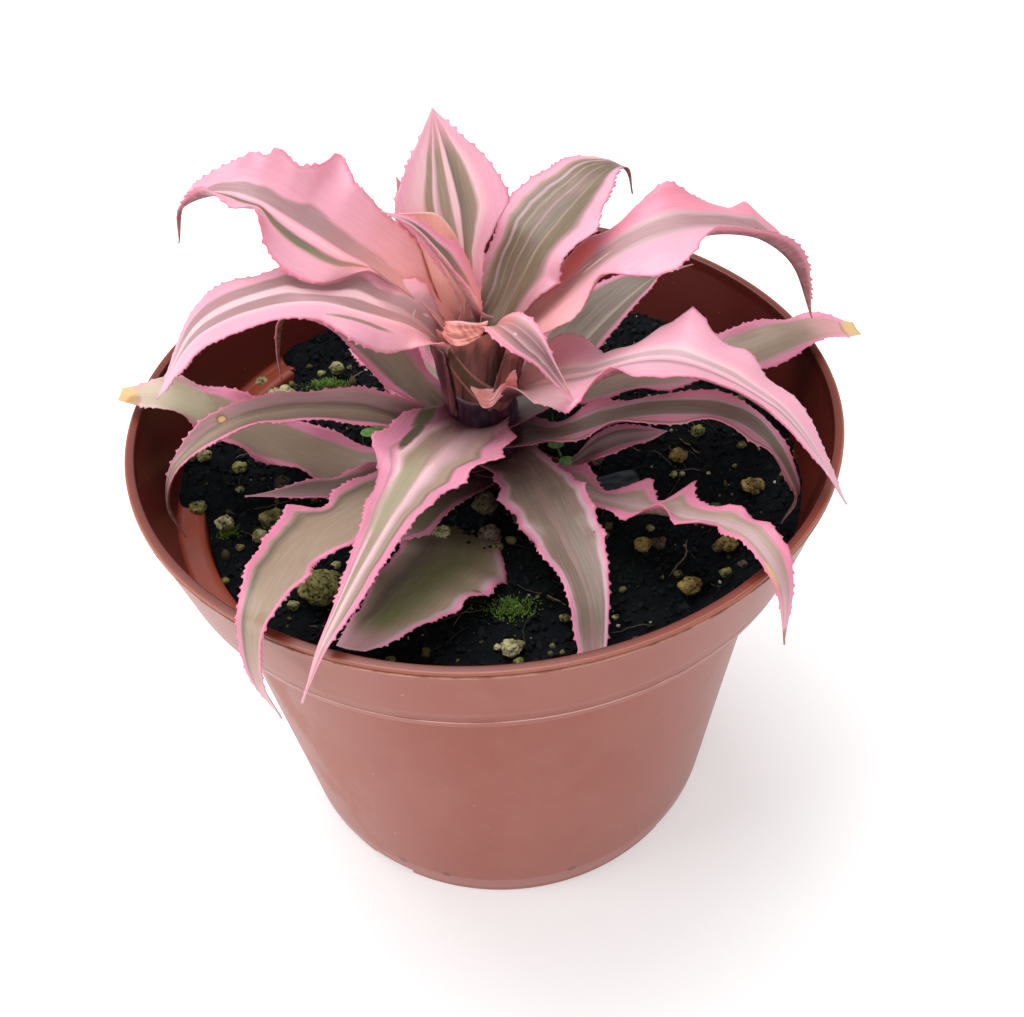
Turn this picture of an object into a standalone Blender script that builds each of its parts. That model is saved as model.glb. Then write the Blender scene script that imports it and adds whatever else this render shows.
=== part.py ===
"""Potted earth star (Cryptanthus) in a 14 cm terracotta-coloured nursery pot.

Units are metres and +Z is up. The origin is the centre of the pot's underside, on the
surface that it stands on. -Y is the front. The soil fills the pot, the stem stands in a
socket in the soil, the leaves stand round the stem, and nothing moves.
"""

import math

import bmesh
import bpy
import numpy as np
from mathutils import Matrix, Vector, noise

MM = 0.001
GAP = 0.3 * MM                     # clearance that keeps touching pieces apart

# Pot, driving dimensions
RIM_RADIUS = 70 * MM               # 14 cm across the rim
POT_HEIGHT = 106 * MM
COLLAR_HEIGHT = 20.5 * MM          # the upright band below the rim
COLLAR_FOOT_RADIUS = 65.5 * MM
BODY_TOP_RADIUS = 60.4 * MM
BASE_RADIUS = 50.9 * MM
WALL = 1.2 * MM
LIP_WIDTH = 1.8 * MM               # the wall is thicker along the rim
LIP_HEIGHT = 2.4 * MM
EDGE_HEIGHT = 0.6 * MM             # the rim's top edge, above its groove
GROOVE_DEPTH = 0.5 * MM
FLOOR_THICKNESS = 1.6 * MM
RECESS_HEIGHT = 2.2 * MM           # the drained part of the floor is held up by this much
FOOT_RING_WIDTH = 9 * MM
FOOT_HEIGHT = 2.8 * MM             # the foot is set in a little below the body
FOOT_INSET = 0.4 * MM
CENTRE_PAD_RADIUS = 16 * MM
DRAIN_COUNT = 9
DRAIN_HOLE_RADIUS = 4 * MM
DRAIN_CIRCLE_RADIUS = 33 * MM
NOTCH_TURNS = (-146, -125, -41, -20, 34, 55, 139, 160)     # gaps in the foot, in degrees
NOTCH_WIDTH = 11 * MM
NOTCH_HEIGHT = 1.9 * MM
POT_STEPS = 54

# Soil and stem
SOIL_TOP = 84.6 * MM
SOIL_CROWN = 0.5 * MM              # the soil is a little higher round the stem
SOIL_STEPS = 48
STEM_RADIUS = 5.2 * MM
STEM_DEPTH = 14 * MM               # how far the stem reaches into the soil
STEM_NARROWS = 106 * MM            # the height from which the stem tapers
STEM_TOP = 120.5 * MM
STEM_TIP_RADIUS = 1.6 * MM
STEM_STEPS = 20

# Leaves
LEAF_THICKNESS = 0.9 * MM
LEAF_ROWS = 15                     # cells along a leaf
LEAF_COLUMNS = 4                   # cells across a leaf
LEAF_TIP_HALF_WIDTH = 0.3 * MM
CUP_POWER = 1.5                    # how a cupped blade curves up towards its margins
WAVE_POWER = 2.5                   # a margin's wave stays near the margin
DEFAULT_CUP = (0.3, 0.2)

# Each leaf is a strip round a midrib. The midrib leaves the stem at an azimuth in degrees
# (0 is +X, -90 is the front) and runs through points of (reach, sideways, height) in mm.
# left and right are half widths in mm at even steps from the stem to the tip. roll turns
# the blade about its midrib in degrees, cup lifts both margins as a share of the half
# width, and wave_left and wave_right lift or drop one margin in mm, which ruffles it.
LEAVES = {
    "leaf_top_back": dict(
        azimuth=103,
        midrib=((5.4, 0, 115.5), (6.4, 0, 124), (12, 0, 137), (20, 0, 148), (25, 0, 154.5)),
        left=(1.8, 3, 7, 10, 11, 11, 8, 4, 0),
        right=(1.5, 2.2, 6.5, 10, 11, 10, 8, 4, 0)),
    "leaf_top_back_left": dict(
        azimuth=124,
        midrib=((5.9, 0, 111.5), (10, 0, 120), (17, 0, 131), (24, 0, 143.5)),
        left=(2, 2.5, 3, 3.5, 4, 4, 4, 2, 0),
        right=(2.5, 4, 6, 6, 6, 5, 4, 2, 0)),
    "leaf_upper_left": dict(
        azimuth=162,
        midrib=(
            (5.3, 0, 117.2), (9, 0, 124), (16, 0, 129.5), (31, 0, 139.5),
            (44, 0, 145.5), (56, 0, 142), (59.5, 0, 133.5)),
        left=(2, 3.5, 7, 9, 9, 6, 4, 2, 0),
        right=(2, 3.5, 8, 9.5, 10, 8, 4.5, 2.5, 0),
        roll=(0, -10, -15, -12, 0),
        wave_left=(0, 0, 0, 0, -1, 3, 3, 0, 0),
        wave_right=(0, 0, 3, 4, 5, 3, 0.5, 0, 0)),
    "leaf_left": dict(
        azimuth=182,
        midrib=(
            (5.7, 0, 112.5), (8.5, 0, 119.5), (15, 0, 125.5),
            (32, 0, 131.5), (50, 0, 127), (63, 0, 112)),
        left=(2.5, 5, 7.5, 8.5, 8.5, 8, 7, 4, 0),
        right=(2, 3.5, 7, 8.5, 7.5, 7, 5, 3, 0),
        roll=(0, -5, -8, -5, 0),
        wave_left=(0, -2, -5, -2, 0, 0, -1, -1, 0),
        wave_right=(0, 0, 0, -1, -2, -1, 0, 0, 0)),
    "leaf_upper_right": dict(
        azimuth=45,
        midrib=((4.6, 0, 118.4), (9, 0, 124), (18, 0, 132.5), (33, 0, 137.5), (46, 0, 132)),
        left=(1.6, 4, 7.5, 9, 9, 8.5, 8, 6, 0),
        right=(2, 6, 9, 10.5, 10.5, 8.5, 5.5, 1.2, 0)),
    "leaf_right": dict(
        azimuth=9,
        midrib=(
            (5.4, 0, 115.5), (15, 0, 124), (32, 0, 135),
            (50, 0, 134.8), (62, 0, 126.5), (69, 0, 111.5)),
        left=(2.5, 5.5, 8, 9, 9, 8, 6, 4, 0),
        right=(2.5, 7, 9, 9.5, 8.5, 5, 3, 2, 0),
        roll=(0, 0, 10, 10, 0),
        wave_left=(0, -1, -1, -3, 0.5, -3, -1, 0, 0),
        wave_right=(0, 0, -1, -2.5, 0, 2, 3, 1, 0)),
    "leaf_heart_left": dict(
        azimuth=175,
        midrib=(
            (0, 0, 121.8), (1, 0, 127), (3.5, 0, 133),
            (7, 0, 139), (10.5, 0, 143.5), (15.5, 0, 146.5)),
        left=(2, 2.6, 2.8, 2.8, 2.6, 2.2, 1.6, 0.9, 0),
        right=(2, 3, 3.5, 4, 4, 3, 2, 1, 0),
        cup=(0.6, 0.5)),
    "leaf_heart_front": dict(
        azimuth=-47,
        midrib=((3, 0, 120.6), (8, 0, 125.9), (15, 0, 124.6), (20.6, 0, 120), (24.6, 0, 115.6)),
        left=(2, 3, 2.5, 2.5, 2, 1.5, 1, 0.5, 0),
        right=(2, 4, 5, 7, 7, 5, 3, 1.5, 0),
        cup=(0.4, 0.4)),
    "leaf_right_front": dict(
        azimuth=-24,
        midrib=(
            (6, 0, 107), (20, 0, 114.5), (38, -1, 123),
            (56, -3, 119), (66, -8, 113.5), (72.5, -10.5, 106.5)),
        left=(2.5, 6, 9, 9.5, 9.5, 8, 5.5, 3, 0),
        right=(2.5, 6, 9, 9.5, 8.5, 7, 5, 2.5, 0),
        roll=(0, 0, -5, -10, -10),
        wave_left=(0, 0, -3, -1.5, 1, 1, 0, 0, 0),
        wave_right=(0, 1, -4.5, 6, 2, 2, 1, 1, 0)),
    "leaf_back_right": dict(
        azimuth=38,
        midrib=((6, 0, 93.6), (21, 0, 101), (36, 0, 107.5), (51, 0, 111), (62, 0, 109)),
        left=(2.5, 6, 8, 9, 9, 8, 5, 1.5, 0),
        right=(2.5, 4, 5, 5, 4, 3, 2, 1, 0)),
    "leaf_back_left": dict(
        azimuth=160,
        midrib=(
            (6.2, 0, 94), (15, 0, 104), (23, 0, 113.5), (33, 0, 119.5),
            (41, 0, 118), (44, 0, 110), (45, 0, 102)),
        left=(2, 3, 5, 6, 5, 3, 1.5, 0.8, 0),
        right=(2.5, 6, 7, 7, 6, 3.5, 1.5, 0.8, 0)),
    "leaf_front": dict(
        azimuth=-114,
        midrib=((6.2, 0, 102), (21, -2, 106), (47, -1, 108.5), (70, 1, 109), (77, 0, 102.5)),
        left=(2.5, 12, 12, 7, 4.5, 3.8, 3, 1.2, 0),
        right=(2.5, 9, 9, 6.5, 4, 2.5, 1.2, 0.6, 0),
        wave_right=(0, 1.5, 1, 0, 0, 0, 0, 0, 0)),
    "leaf_lower_left": dict(
        azimuth=196,
        midrib=(
            (6, 0, 96.5), (14, 0, 101.5), (26, 0, 109.5), (46, 0, 113.5),
            (59, 0, 108), (64, 0, 99), (63, 0, 89)),
        left=(2.5, 3.5, 5.5, 6, 5, 3.5, 2, 1, 0),
        right=(2, 3, 3.5, 3.5, 3.2, 2, 1.5, 0.8, 0),
        cup=(0.15, 0.3)),
    "leaf_lower_right": dict(
        azimuth=-24,
        midrib=(
            (6, 0, 95.3), (16, 0, 99.5), (34, 0, 110),
            (52, 0, 112), (63, 0, 98), (61.5, 0, 88.6)),
        left=(2.5, 4, 5, 4, 4, 4, 3, 2, 0),
        right=(2.5, 4, 5, 5.5, 5, 4.5, 4, 2, 0)),
    "leaf_low_back_right": dict(
        azimuth=8,
        midrib=((6, 0, 99.8), (28, 0, 103.2), (49, 0, 104.5), (66, 0, 108.3), (79, 0, 107.5)),
        left=(2, 3, 4, 5.5, 6, 6.5, 6.5, 5.5, 2.5),
        right=(2.5, 4, 5, 5.5, 6, 7, 7, 4, 2)),
    "leaf_front_right": dict(
        azimuth=-69,
        midrib=((6.5, 0, 93), (14, 2.5, 95.5), (30, 1, 96.5), (48, -1, 94), (58, -5, 90), (63, -7, 87)),
        left=(2.5, 5, 6, 7, 6.5, 5, 3, 2, 0),
        right=(2.5, 6, 7, 6.5, 5, 4, 4, 3, 0)),
    "leaf_low_right_front": dict(
        azimuth=-46,
        midrib=(
            (6, 0, 89.6), (31, 1.5, 94.5), (54, -2, 106),
            (64, -4, 110.5), (73, -7.5, 108.5), (76.5, -8.5, 96.5)),
        left=(2.5, 4, 4.5, 5, 4.5, 4.5, 4, 2.5, 0),
        right=(2.5, 4, 4, 3, 2, 1.5, 1.5, 1.5, 0)),
    "leaf_front_left": dict(
        azimuth=-131,
        midrib=(
            (6.2, 0, 93.2), (32, -3, 100), (55, 2, 108),
            (69.5, 9.5, 110), (73.5, 12, 101), (72.5, 13.5, 90)),
        left=(2.5, 5, 7, 8.5, 8.5, 6.2, 3.5, 1.5, 0),
        right=(2.5, 5, 5, 5, 5, 4, 3, 2, 0)),
    "leaf_short_right": dict(
        azimuth=-8,
        midrib=((6, 0, 86.8), (17, 0, 91), (26, 0, 95), (37, 0, 97.5)),
        left=(2.5, 3.5, 3.5, 3.5, 3.5, 3.5, 3.2, 2, 0),
        right=(2.5, 3.5, 3.5, 4, 4.5, 5.5, 5.5, 4, 0)),
    "leaf_short_left": dict(
        azimuth=200,
        midrib=((6, 0, 90.5), (26, 0, 91.5), (42, 0, 96), (50, 0, 98.5)),
        left=(2, 4, 5, 5, 4.5, 3.5, 2.5, 1, 0),
        right=(2.5, 4, 5, 5, 4.5, 3.5, 2.5, 1, 0)),
    "leaf_young_front": dict(
        azimuth=-117,
        midrib=((6.2, 0, 88.7), (16, -1, 91), (23, -2, 92), (29, -2, 91)),
        left=(2, 2.5, 3, 3.5, 3.5, 3.5, 3, 2, 1),
        right=(2, 2.5, 3, 3.5, 3.5, 3.5, 3, 2, 1)),
    "leaf_low_front": dict(
        azimuth=-113,
        midrib=((6, 0, 86.5), (29, 1, 88), (43, -1, 91.5), (55, -1, 96.5), (64, 0, 101)),
        left=(2.5, 6.5, 9.5, 12, 13.5, 11.5, 9, 7, 3),
        right=(2.5, 7, 9, 9, 8, 6, 4, 3, 2),
        cup=(0.1, 0.1)),
    "leaf_low_left": dict(
        azimuth=177,
        midrib=((6, 0, 86.6), (26, 0, 86.8), (36, 0, 90), (54, 0, 102), (63, 0, 108), (72, 0, 109)),
        left=(2.5, 5, 7, 9, 6, 8, 6, 5, 2),
        right=(2.5, 5, 7, 8, 8.5, 8.5, 8, 5, 2),
        cup=(0.2, 0.2)),
    "leaf_hidden_back_right": dict(
        azimuth=82,
        midrib=((6, 0, 90.2), (20, 0, 98), (36, 0, 102), (50, 0, 98)),
        left=(2.5, 4.5, 6.5, 8, 8, 7, 5, 2.5, 0),
        right=(2.5, 5, 7, 8, 8, 7, 5, 2.5, 0)),
    "leaf_hidden_back_left": dict(
        azimuth=134,
        midrib=((6.2, 0, 92.2), (18, 0, 98.5), (30, 0, 101), (42, 0, 98)),
        left=(2.5, 5, 6, 7, 7, 6, 4.5, 2.5, 0),
        right=(2.5, 4, 5.5, 7, 7, 6, 4.5, 2.5, 0)),
    "leaf_hidden_back": dict(
        azimuth=106,
        midrib=((6, 0, 87.3), (20, 0, 91), (36, 0, 95), (54, 0, 97)),
        left=(2.5, 5, 7, 8, 8, 7, 5, 2.5, 0),
        right=(2.5, 5, 7, 8, 8, 7, 5, 2.5, 0)),
}

# Loose pieces on the soil: place (x, y), width, depth and height in mm, and colour
PALE_PUMICE = (0.62, 0.60, 0.50)
OLIVE_PUMICE = (0.42, 0.41, 0.22)
YELLOW_PUMICE = (0.66, 0.52, 0.28)
BROWN_STONE = (0.27, 0.16, 0.10)
STONES = {
    "pumice_front_left": dict(place=(-33.4, -33.0), size=(8.0, 7.0, 5.6), colour=OLIVE_PUMICE),
    "pumice_left": dict(place=(-54.0, -12.0), size=(4.0, 3.4, 3.0), colour=PALE_PUMICE),
    "pumice_left_inner": dict(place=(-46.5, -16.0), size=(3.2, 3.0, 2.4), colour=PALE_PUMICE),
    "pumice_back_left": dict(place=(-46.0, 28.5), size=(6.4, 5.2, 4.2), colour=PALE_PUMICE),
    "pumice_back": dict(place=(-34.0, 38.5), size=(3.6, 3.2, 2.8), colour=PALE_PUMICE),
    "pumice_front": dict(place=(2.0, -49.5), size=(4.2, 3.4, 2.8), colour=PALE_PUMICE),
    "pumice_right_back": dict(place=(38.0, 38.0), size=(4.0, 3.6, 3.0), colour=YELLOW_PUMICE),
    "pumice_right_inner": dict(place=(40.4, -0.5), size=(3.8, 3.2, 2.6), colour=YELLOW_PUMICE),
    "pumice_right": dict(place=(54.0, -11.5), size=(4.6, 3.8, 3.2), colour=YELLOW_PUMICE),
    "pumice_right_front": dict(place=(45.3, -27.5), size=(4.0, 3.4, 2.8), colour=YELLOW_PUMICE),
    "pumice_low_right": dict(place=(36.0, -38.0), size=(4.4, 3.6, 2.8), colour=YELLOW_PUMICE),
    "stone_brown": dict(place=(5.4, -16.0), size=(2.8, 2.4, 2.0), colour=BROWN_STONE),
}
STONE_ROUGHNESS = 0.16             # how far a stone's surface leaves an ellipsoid
STONE_LUMP = 0.9                   # lumps in each radius of a stone

# A flat dark chip of bark, and weed seedlings with two round seed leaves each
CHIP_PLACE = (26.5, -7.6)
CHIP_SIZE = (10.0, 6.0, 1.8)
CHIP_TURN = 12
SEEDLINGS = {
    "seedling_right": dict(place=(16.4, 3.2), height=3.0, turn=-60),
    "seedling_left": dict(place=(-24.2, 12.4), height=3.2, turn=20),
}
SEED_LEAF_RADIUS = 1.7 * MM
SEED_LEAF_THICKNESS = 0.5 * MM
SEED_STALK_RADIUS = 0.35 * MM

# Colours are linear RGB
TERRACOTTA = (0.40, 0.16, 0.12)
SOIL_COLOUR = (0.018, 0.015, 0.013)
STEM_COLOUR = (0.20, 0.10, 0.05)
PINK_LEAF = (0.78, 0.34, 0.36)
OLIVE_LEAF = (0.36, 0.25, 0.20)
CHIP_COLOUR = (0.03, 0.035, 0.05)
SEEDLING_COLOUR = (0.16, 0.34, 0.07)
OLIVE_LEAVES = (
    "leaf_front", "leaf_front_left", "leaf_low_front", "leaf_low_left", "leaf_lower_left",
    "leaf_short_left", "leaf_young_front", "leaf_low_right_front", "leaf_front_right",
    "leaf_short_right", "leaf_lower_right", "leaf_low_back_right", "leaf_hidden_back_right",
    "leaf_hidden_back", "leaf_hidden_back_left",
)


def collection(name):
    made = bpy.data.collections.new(name)
    bpy.context.scene.collection.children.link(made)
    return made


def material(name, colour, roughness):
    made = bpy.data.materials.new(name)
    made.use_nodes = True
    shader = made.node_tree.nodes["Principled BSDF"]
    shader.inputs["Base Color"].default_value = (*colour, 1)
    shader.inputs["Roughness"].default_value = roughness
    return made


def place(name, mesh, group, colour=None, roughness=0.5):
    """Puts a mesh in the scene as one named sub-part."""
    piece = bpy.data.objects.new(name, mesh)
    group.objects.link(piece)
    if colour:
        mesh.materials.append(material(name, colour, roughness))
        mesh.shade_smooth()
    return piece


def turned(name, profile, steps, group, colour, roughness):
    """A solid of revolution from a profile of (radius, height), both ends on the axis."""
    mesh = bpy.data.meshes.new(name)
    edges = [(i, i + 1) for i in range(len(profile) - 1)]
    mesh.from_pydata([(radius, 0, height) for radius, height in profile], edges, [])
    piece = place(name, mesh, group, colour, roughness)
    screw = piece.modifiers.new("turn", "SCREW")
    screw.axis = "Z"
    screw.steps = steps
    screw.render_steps = steps
    screw.use_merge_vertices = True
    screw.merge_threshold = 1e-5
    screw.use_smooth_shade = True
    return piece


def cut(piece, cutter):
    """Takes the cutter's volume out of the piece."""
    cutter.hide_render = True
    cutter.display_type = "WIRE"
    boolean = piece.modifiers.new("cut " + cutter.name, "BOOLEAN")
    boolean.operation = "DIFFERENCE"
    boolean.solver = "EXACT"
    boolean.object = cutter


def body_radius(height):
    """Outer radius of the tapered body below the collar."""
    share = height / (POT_HEIGHT - COLLAR_HEIGHT)
    return BASE_RADIUS + (BODY_TOP_RADIUS - BASE_RADIUS) * share


def pot_profile():
    """From the middle of the inside floor, up and over the rim, to the middle of the base."""
    step = POT_HEIGHT - COLLAR_HEIGHT
    floor = RECESS_HEIGHT + FLOOR_THICKNESS
    chamfer = WALL / 2
    lip_bottom = POT_HEIGHT - LIP_HEIGHT
    lip_inner = RIM_RADIUS - LIP_WIDTH
    edge = POT_HEIGHT - EDGE_HEIGHT
    groove = RIM_RADIUS - GROOVE_DEPTH
    foot = BASE_RADIUS - FOOT_INSET
    foot_inner = foot - FOOT_RING_WIDTH
    return [
        (0, floor),
        (body_radius(floor) - WALL - chamfer, floor),
        (body_radius(floor) - WALL, floor + chamfer),
        (BODY_TOP_RADIUS - WALL, step + chamfer),
        (BODY_TOP_RADIUS - chamfer, step + WALL),
        (COLLAR_FOOT_RADIUS - WALL - chamfer, step + WALL),
        (COLLAR_FOOT_RADIUS - WALL, step + WALL + chamfer),
        (lip_inner, lip_bottom),
        (lip_inner, POT_HEIGHT - 0.5 * EDGE_HEIGHT),
        (lip_inner + 0.5 * EDGE_HEIGHT, POT_HEIGHT),
        (RIM_RADIUS - 0.5 * EDGE_HEIGHT, POT_HEIGHT),
        (RIM_RADIUS, POT_HEIGHT - 0.5 * EDGE_HEIGHT),
        (RIM_RADIUS, edge),
        (groove, edge - 0.5 * GROOVE_DEPTH),
        (groove, edge - GROOVE_DEPTH),
        (RIM_RADIUS - 0.2 * GROOVE_DEPTH, edge - 1.5 * GROOVE_DEPTH),
        (COLLAR_FOOT_RADIUS, step + chamfer),
        (COLLAR_FOOT_RADIUS - chamfer, step),
        (BODY_TOP_RADIUS + chamfer, step),
        (BODY_TOP_RADIUS, step - chamfer),
        (body_radius(FOOT_HEIGHT) + FOOT_INSET / 4, FOOT_HEIGHT + FOOT_INSET),
        (foot, FOOT_HEIGHT),
        (foot, chamfer),
        (foot - chamfer, 0),
        (foot_inner, 0),
        (foot_inner - chamfer / 2, RECESS_HEIGHT),
        (CENTRE_PAD_RADIUS + chamfer / 2, RECESS_HEIGHT),
        (CENTRE_PAD_RADIUS, 0),
        (0, 0),
    ]


def ring_of(turns, radius, height, make, name, group):
    """A cutter made of equal shapes round the axis, one at each turn in degrees."""
    shapes = bmesh.new()
    for turn in turns:
        about = Matrix.Rotation(math.radians(turn), 4, "Z")
        make(shapes, about @ Matrix.Translation((radius, 0, height)))
    mesh = bpy.data.meshes.new(name)
    shapes.to_mesh(mesh)
    shapes.free()
    return place(name, mesh, group)


def drain_hole(shapes, where):
    bmesh.ops.create_cone(
        shapes, cap_ends=True, segments=16, radius1=DRAIN_HOLE_RADIUS,
        radius2=DRAIN_HOLE_RADIUS, depth=4 * FLOOR_THICKNESS, matrix=where)


def foot_notch(shapes, where):
    size = Matrix.Diagonal((2 * FOOT_RING_WIDTH, NOTCH_WIDTH, 2 * NOTCH_HEIGHT, 1))
    bmesh.ops.create_cube(shapes, size=1, matrix=where @ size)


def build_pot(parts, cutters):
    pot = turned("pot", pot_profile(), POT_STEPS, parts, TERRACOTTA, 0.45)
    drains = [360 * i / DRAIN_COUNT for i in range(DRAIN_COUNT)]
    cut(pot, ring_of(
        drains, DRAIN_CIRCLE_RADIUS, RECESS_HEIGHT, drain_hole, "drain_holes", cutters))
    cut(pot, ring_of(
        NOTCH_TURNS, BASE_RADIUS - FOOT_RING_WIDTH / 2, 0, foot_notch, "foot_notches", cutters))


def build_soil(parts, cutters):
    """The root ball: it fills the body of the pot, with a socket for the stem."""
    floor = RECESS_HEIGHT + FLOOR_THICKNESS + GAP
    bottom_radius = body_radius(floor) - WALL - WALL / 2 - GAP
    side_foot = floor + WALL
    top_radius = body_radius(SOIL_TOP) - WALL - GAP
    soil = turned(
        "potting_soil",
        [
            (0, SOIL_TOP + SOIL_CROWN),
            (0.5 * top_radius, SOIL_TOP + 0.75 * SOIL_CROWN),
            (top_radius - WALL, SOIL_TOP + 0.1 * SOIL_CROWN),
            (top_radius, SOIL_TOP - WALL / 2),
            (body_radius(side_foot) - WALL - GAP, side_foot),
            (bottom_radius, floor),
            (0, floor),
        ],
        SOIL_STEPS, parts, SOIL_COLOUR, 0.95)
    socket = bmesh.new()
    depth = STEM_DEPTH + GAP
    bmesh.ops.create_cone(
        socket, cap_ends=True, segments=STEM_STEPS, radius1=STEM_RADIUS + GAP,
        radius2=STEM_RADIUS + GAP, depth=2 * depth, matrix=Matrix.Translation((0, 0, SOIL_TOP)))
    mesh = bpy.data.meshes.new("stem_socket")
    socket.to_mesh(mesh)
    socket.free()
    cut(soil, place("stem_socket", mesh, cutters))


def build_stem(parts):
    """The short upright stem, narrower towards the growing point."""
    shoulder = STEM_TOP - 0.17 * (STEM_TOP - STEM_NARROWS)
    turned(
        "stem",
        [
            (0, STEM_TOP),
            (STEM_TIP_RADIUS, STEM_TOP),
            (0.8 * STEM_RADIUS, shoulder),
            (STEM_RADIUS, STEM_NARROWS),
            (STEM_RADIUS, SOIL_TOP - STEM_DEPTH + WALL),
            (STEM_RADIUS - WALL, SOIL_TOP - STEM_DEPTH),
            (0, SOIL_TOP - STEM_DEPTH),
        ],
        STEM_STEPS, parts, STEM_COLOUR, 0.7)


def smooth(stations, values, at):
    """The values at `at` on a smooth curve through rows of values at the stations."""
    slope = np.zeros_like(values)
    last = len(values) - 1
    for i in range(last + 1):
        before, after = max(i - 1, 0), min(i + 1, last)
        slope[i] = (values[after] - values[before]) / (stations[after] - stations[before])
    i = np.clip(np.searchsorted(stations, at, side="right") - 1, 0, last - 1)
    span = (stations[i + 1] - stations[i])[:, None]
    x = (at - stations[i])[:, None] / span
    return (
        (2 * x**3 - 3 * x**2 + 1) * values[i]
        + (x**3 - 2 * x**2 + x) * span * slope[i]
        + (3 * x**2 - 2 * x**3) * values[i + 1]
        + (x**3 - x**2) * span * slope[i + 1]
    )


def evenly(values, at):
    """One number per place in `at`, from values at even steps from 0 to 1."""
    rows = np.array(values, float)[:, None]
    return smooth(np.linspace(0, 1, len(rows)), rows, at)[:, 0]


def leaf_points(at, across, azimuth, midrib, left, right, roll=(0, 0), cup=DEFAULT_CUP,
                wave_left=(0, 0), wave_right=(0, 0)):
    """Points of the blade at places `at` (0 stem, 1 tip) and `across` (1 left, -1 right)."""
    turn = math.radians(azimuth)
    out = np.array([math.cos(turn), math.sin(turn), 0])
    side = np.array([-math.sin(turn), math.cos(turn), 0])
    rib = np.array([x * out + y * side + z * np.array([0, 0, 1]) for x, y, z in midrib]) * MM
    lengths = np.linalg.norm(np.diff(rib, axis=0), axis=1)
    stations = np.concatenate([[0], np.cumsum(lengths)]) / lengths.sum()
    centre = smooth(stations, rib, at)
    step = 0.001
    ahead = smooth(stations, rib, np.clip(at + step, 0, 1))
    along = ahead - smooth(stations, rib, np.clip(at - step, 0, 1))
    along /= np.linalg.norm(along, axis=1)[:, None]
    level = side - along * (along @ side)[:, None]
    level /= np.linalg.norm(level, axis=1)[:, None]
    upright = np.cross(along, level)
    rolled = np.radians(evenly(roll, at))[:, None]
    sideways = np.cos(rolled) * level + np.sin(rolled) * upright
    normal = np.cross(along, sideways)
    to_left = across > 0
    half = np.where(to_left, evenly(left, at), evenly(right, at)) * MM
    half = np.maximum(half, LEAF_TIP_HALF_WIDTH)
    wave = np.where(to_left, evenly(wave_left, at), evenly(wave_right, at)) * MM
    off = np.abs(across)
    lift = evenly(cup, at) * half * off**CUP_POWER + wave * off**WAVE_POWER
    return centre + (across * half)[:, None] * sideways + lift[:, None] * normal


def build_leaf(name, parts, colour, shape):
    grid = bmesh.new()
    bmesh.ops.create_grid(grid, x_segments=LEAF_ROWS, y_segments=LEAF_COLUMNS, size=1)
    places = np.array([vertex.co for vertex in grid.verts])
    points = leaf_points((places[:, 0] + 1) / 2, places[:, 1], **shape)
    for vertex, point in zip(grid.verts, points):
        vertex.co = point
    mesh = bpy.data.meshes.new(name)
    grid.to_mesh(mesh)
    grid.free()
    leaf = place(name, mesh, parts, colour, 0.4)
    blade = leaf.modifiers.new("blade", "SOLIDIFY")
    blade.thickness = LEAF_THICKNESS
    blade.offset = 0


def soil_height(x, y):
    """Height of the soil's surface, on the high side between the profile's points."""
    reach = min(1, math.hypot(x, y) / BODY_TOP_RADIUS)
    return SOIL_TOP + SOIL_CROWN * (1 - 0.5 * reach)


def build_stone(name, parts, place_mm, size_mm, colour, seed):
    """A rounded, uneven grain that rests on the soil."""
    x, y = (value * MM for value in place_mm)
    radii = Vector([value * MM / 2 for value in size_mm])
    grain = bmesh.new()
    bmesh.ops.create_icosphere(grain, subdivisions=2, radius=1)
    offset = Vector((seed * 7.3, seed * 3.1, seed * 5.7))
    for vertex in grain.verts:
        lump = 1 + STONE_ROUGHNESS * noise.noise(vertex.co * STONE_LUMP + offset)
        vertex.co = vertex.co * lump * radii
    lowest = min(vertex.co.z for vertex in grain.verts)
    bmesh.ops.translate(grain, verts=grain.verts, vec=(x, y, soil_height(x, y) + GAP - lowest))
    mesh = bpy.data.meshes.new(name)
    grain.to_mesh(mesh)
    grain.free()
    place(name, mesh, parts, colour, 0.9)


def build_chip(parts):
    """A thin flat piece of dark bark with rounded edges."""
    x, y = (value * MM for value in CHIP_PLACE)
    length, width, height = (value * MM for value in CHIP_SIZE)
    chip = bmesh.new()
    bmesh.ops.create_cube(chip, size=1, matrix=Matrix.Diagonal((length, width, height, 1)))
    bmesh.ops.bevel(
        chip, geom=chip.edges[:], offset=0.3 * height, segments=2, affect="EDGES", profile=0.5)
    mesh = bpy.data.meshes.new("bark_chip")
    chip.to_mesh(mesh)
    chip.free()
    piece = place("bark_chip", mesh, parts, CHIP_COLOUR, 0.35)
    piece.location = (x, y, soil_height(x, y) + GAP + height / 2)
    piece.rotation_euler = (0, 0, math.radians(CHIP_TURN))


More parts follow.
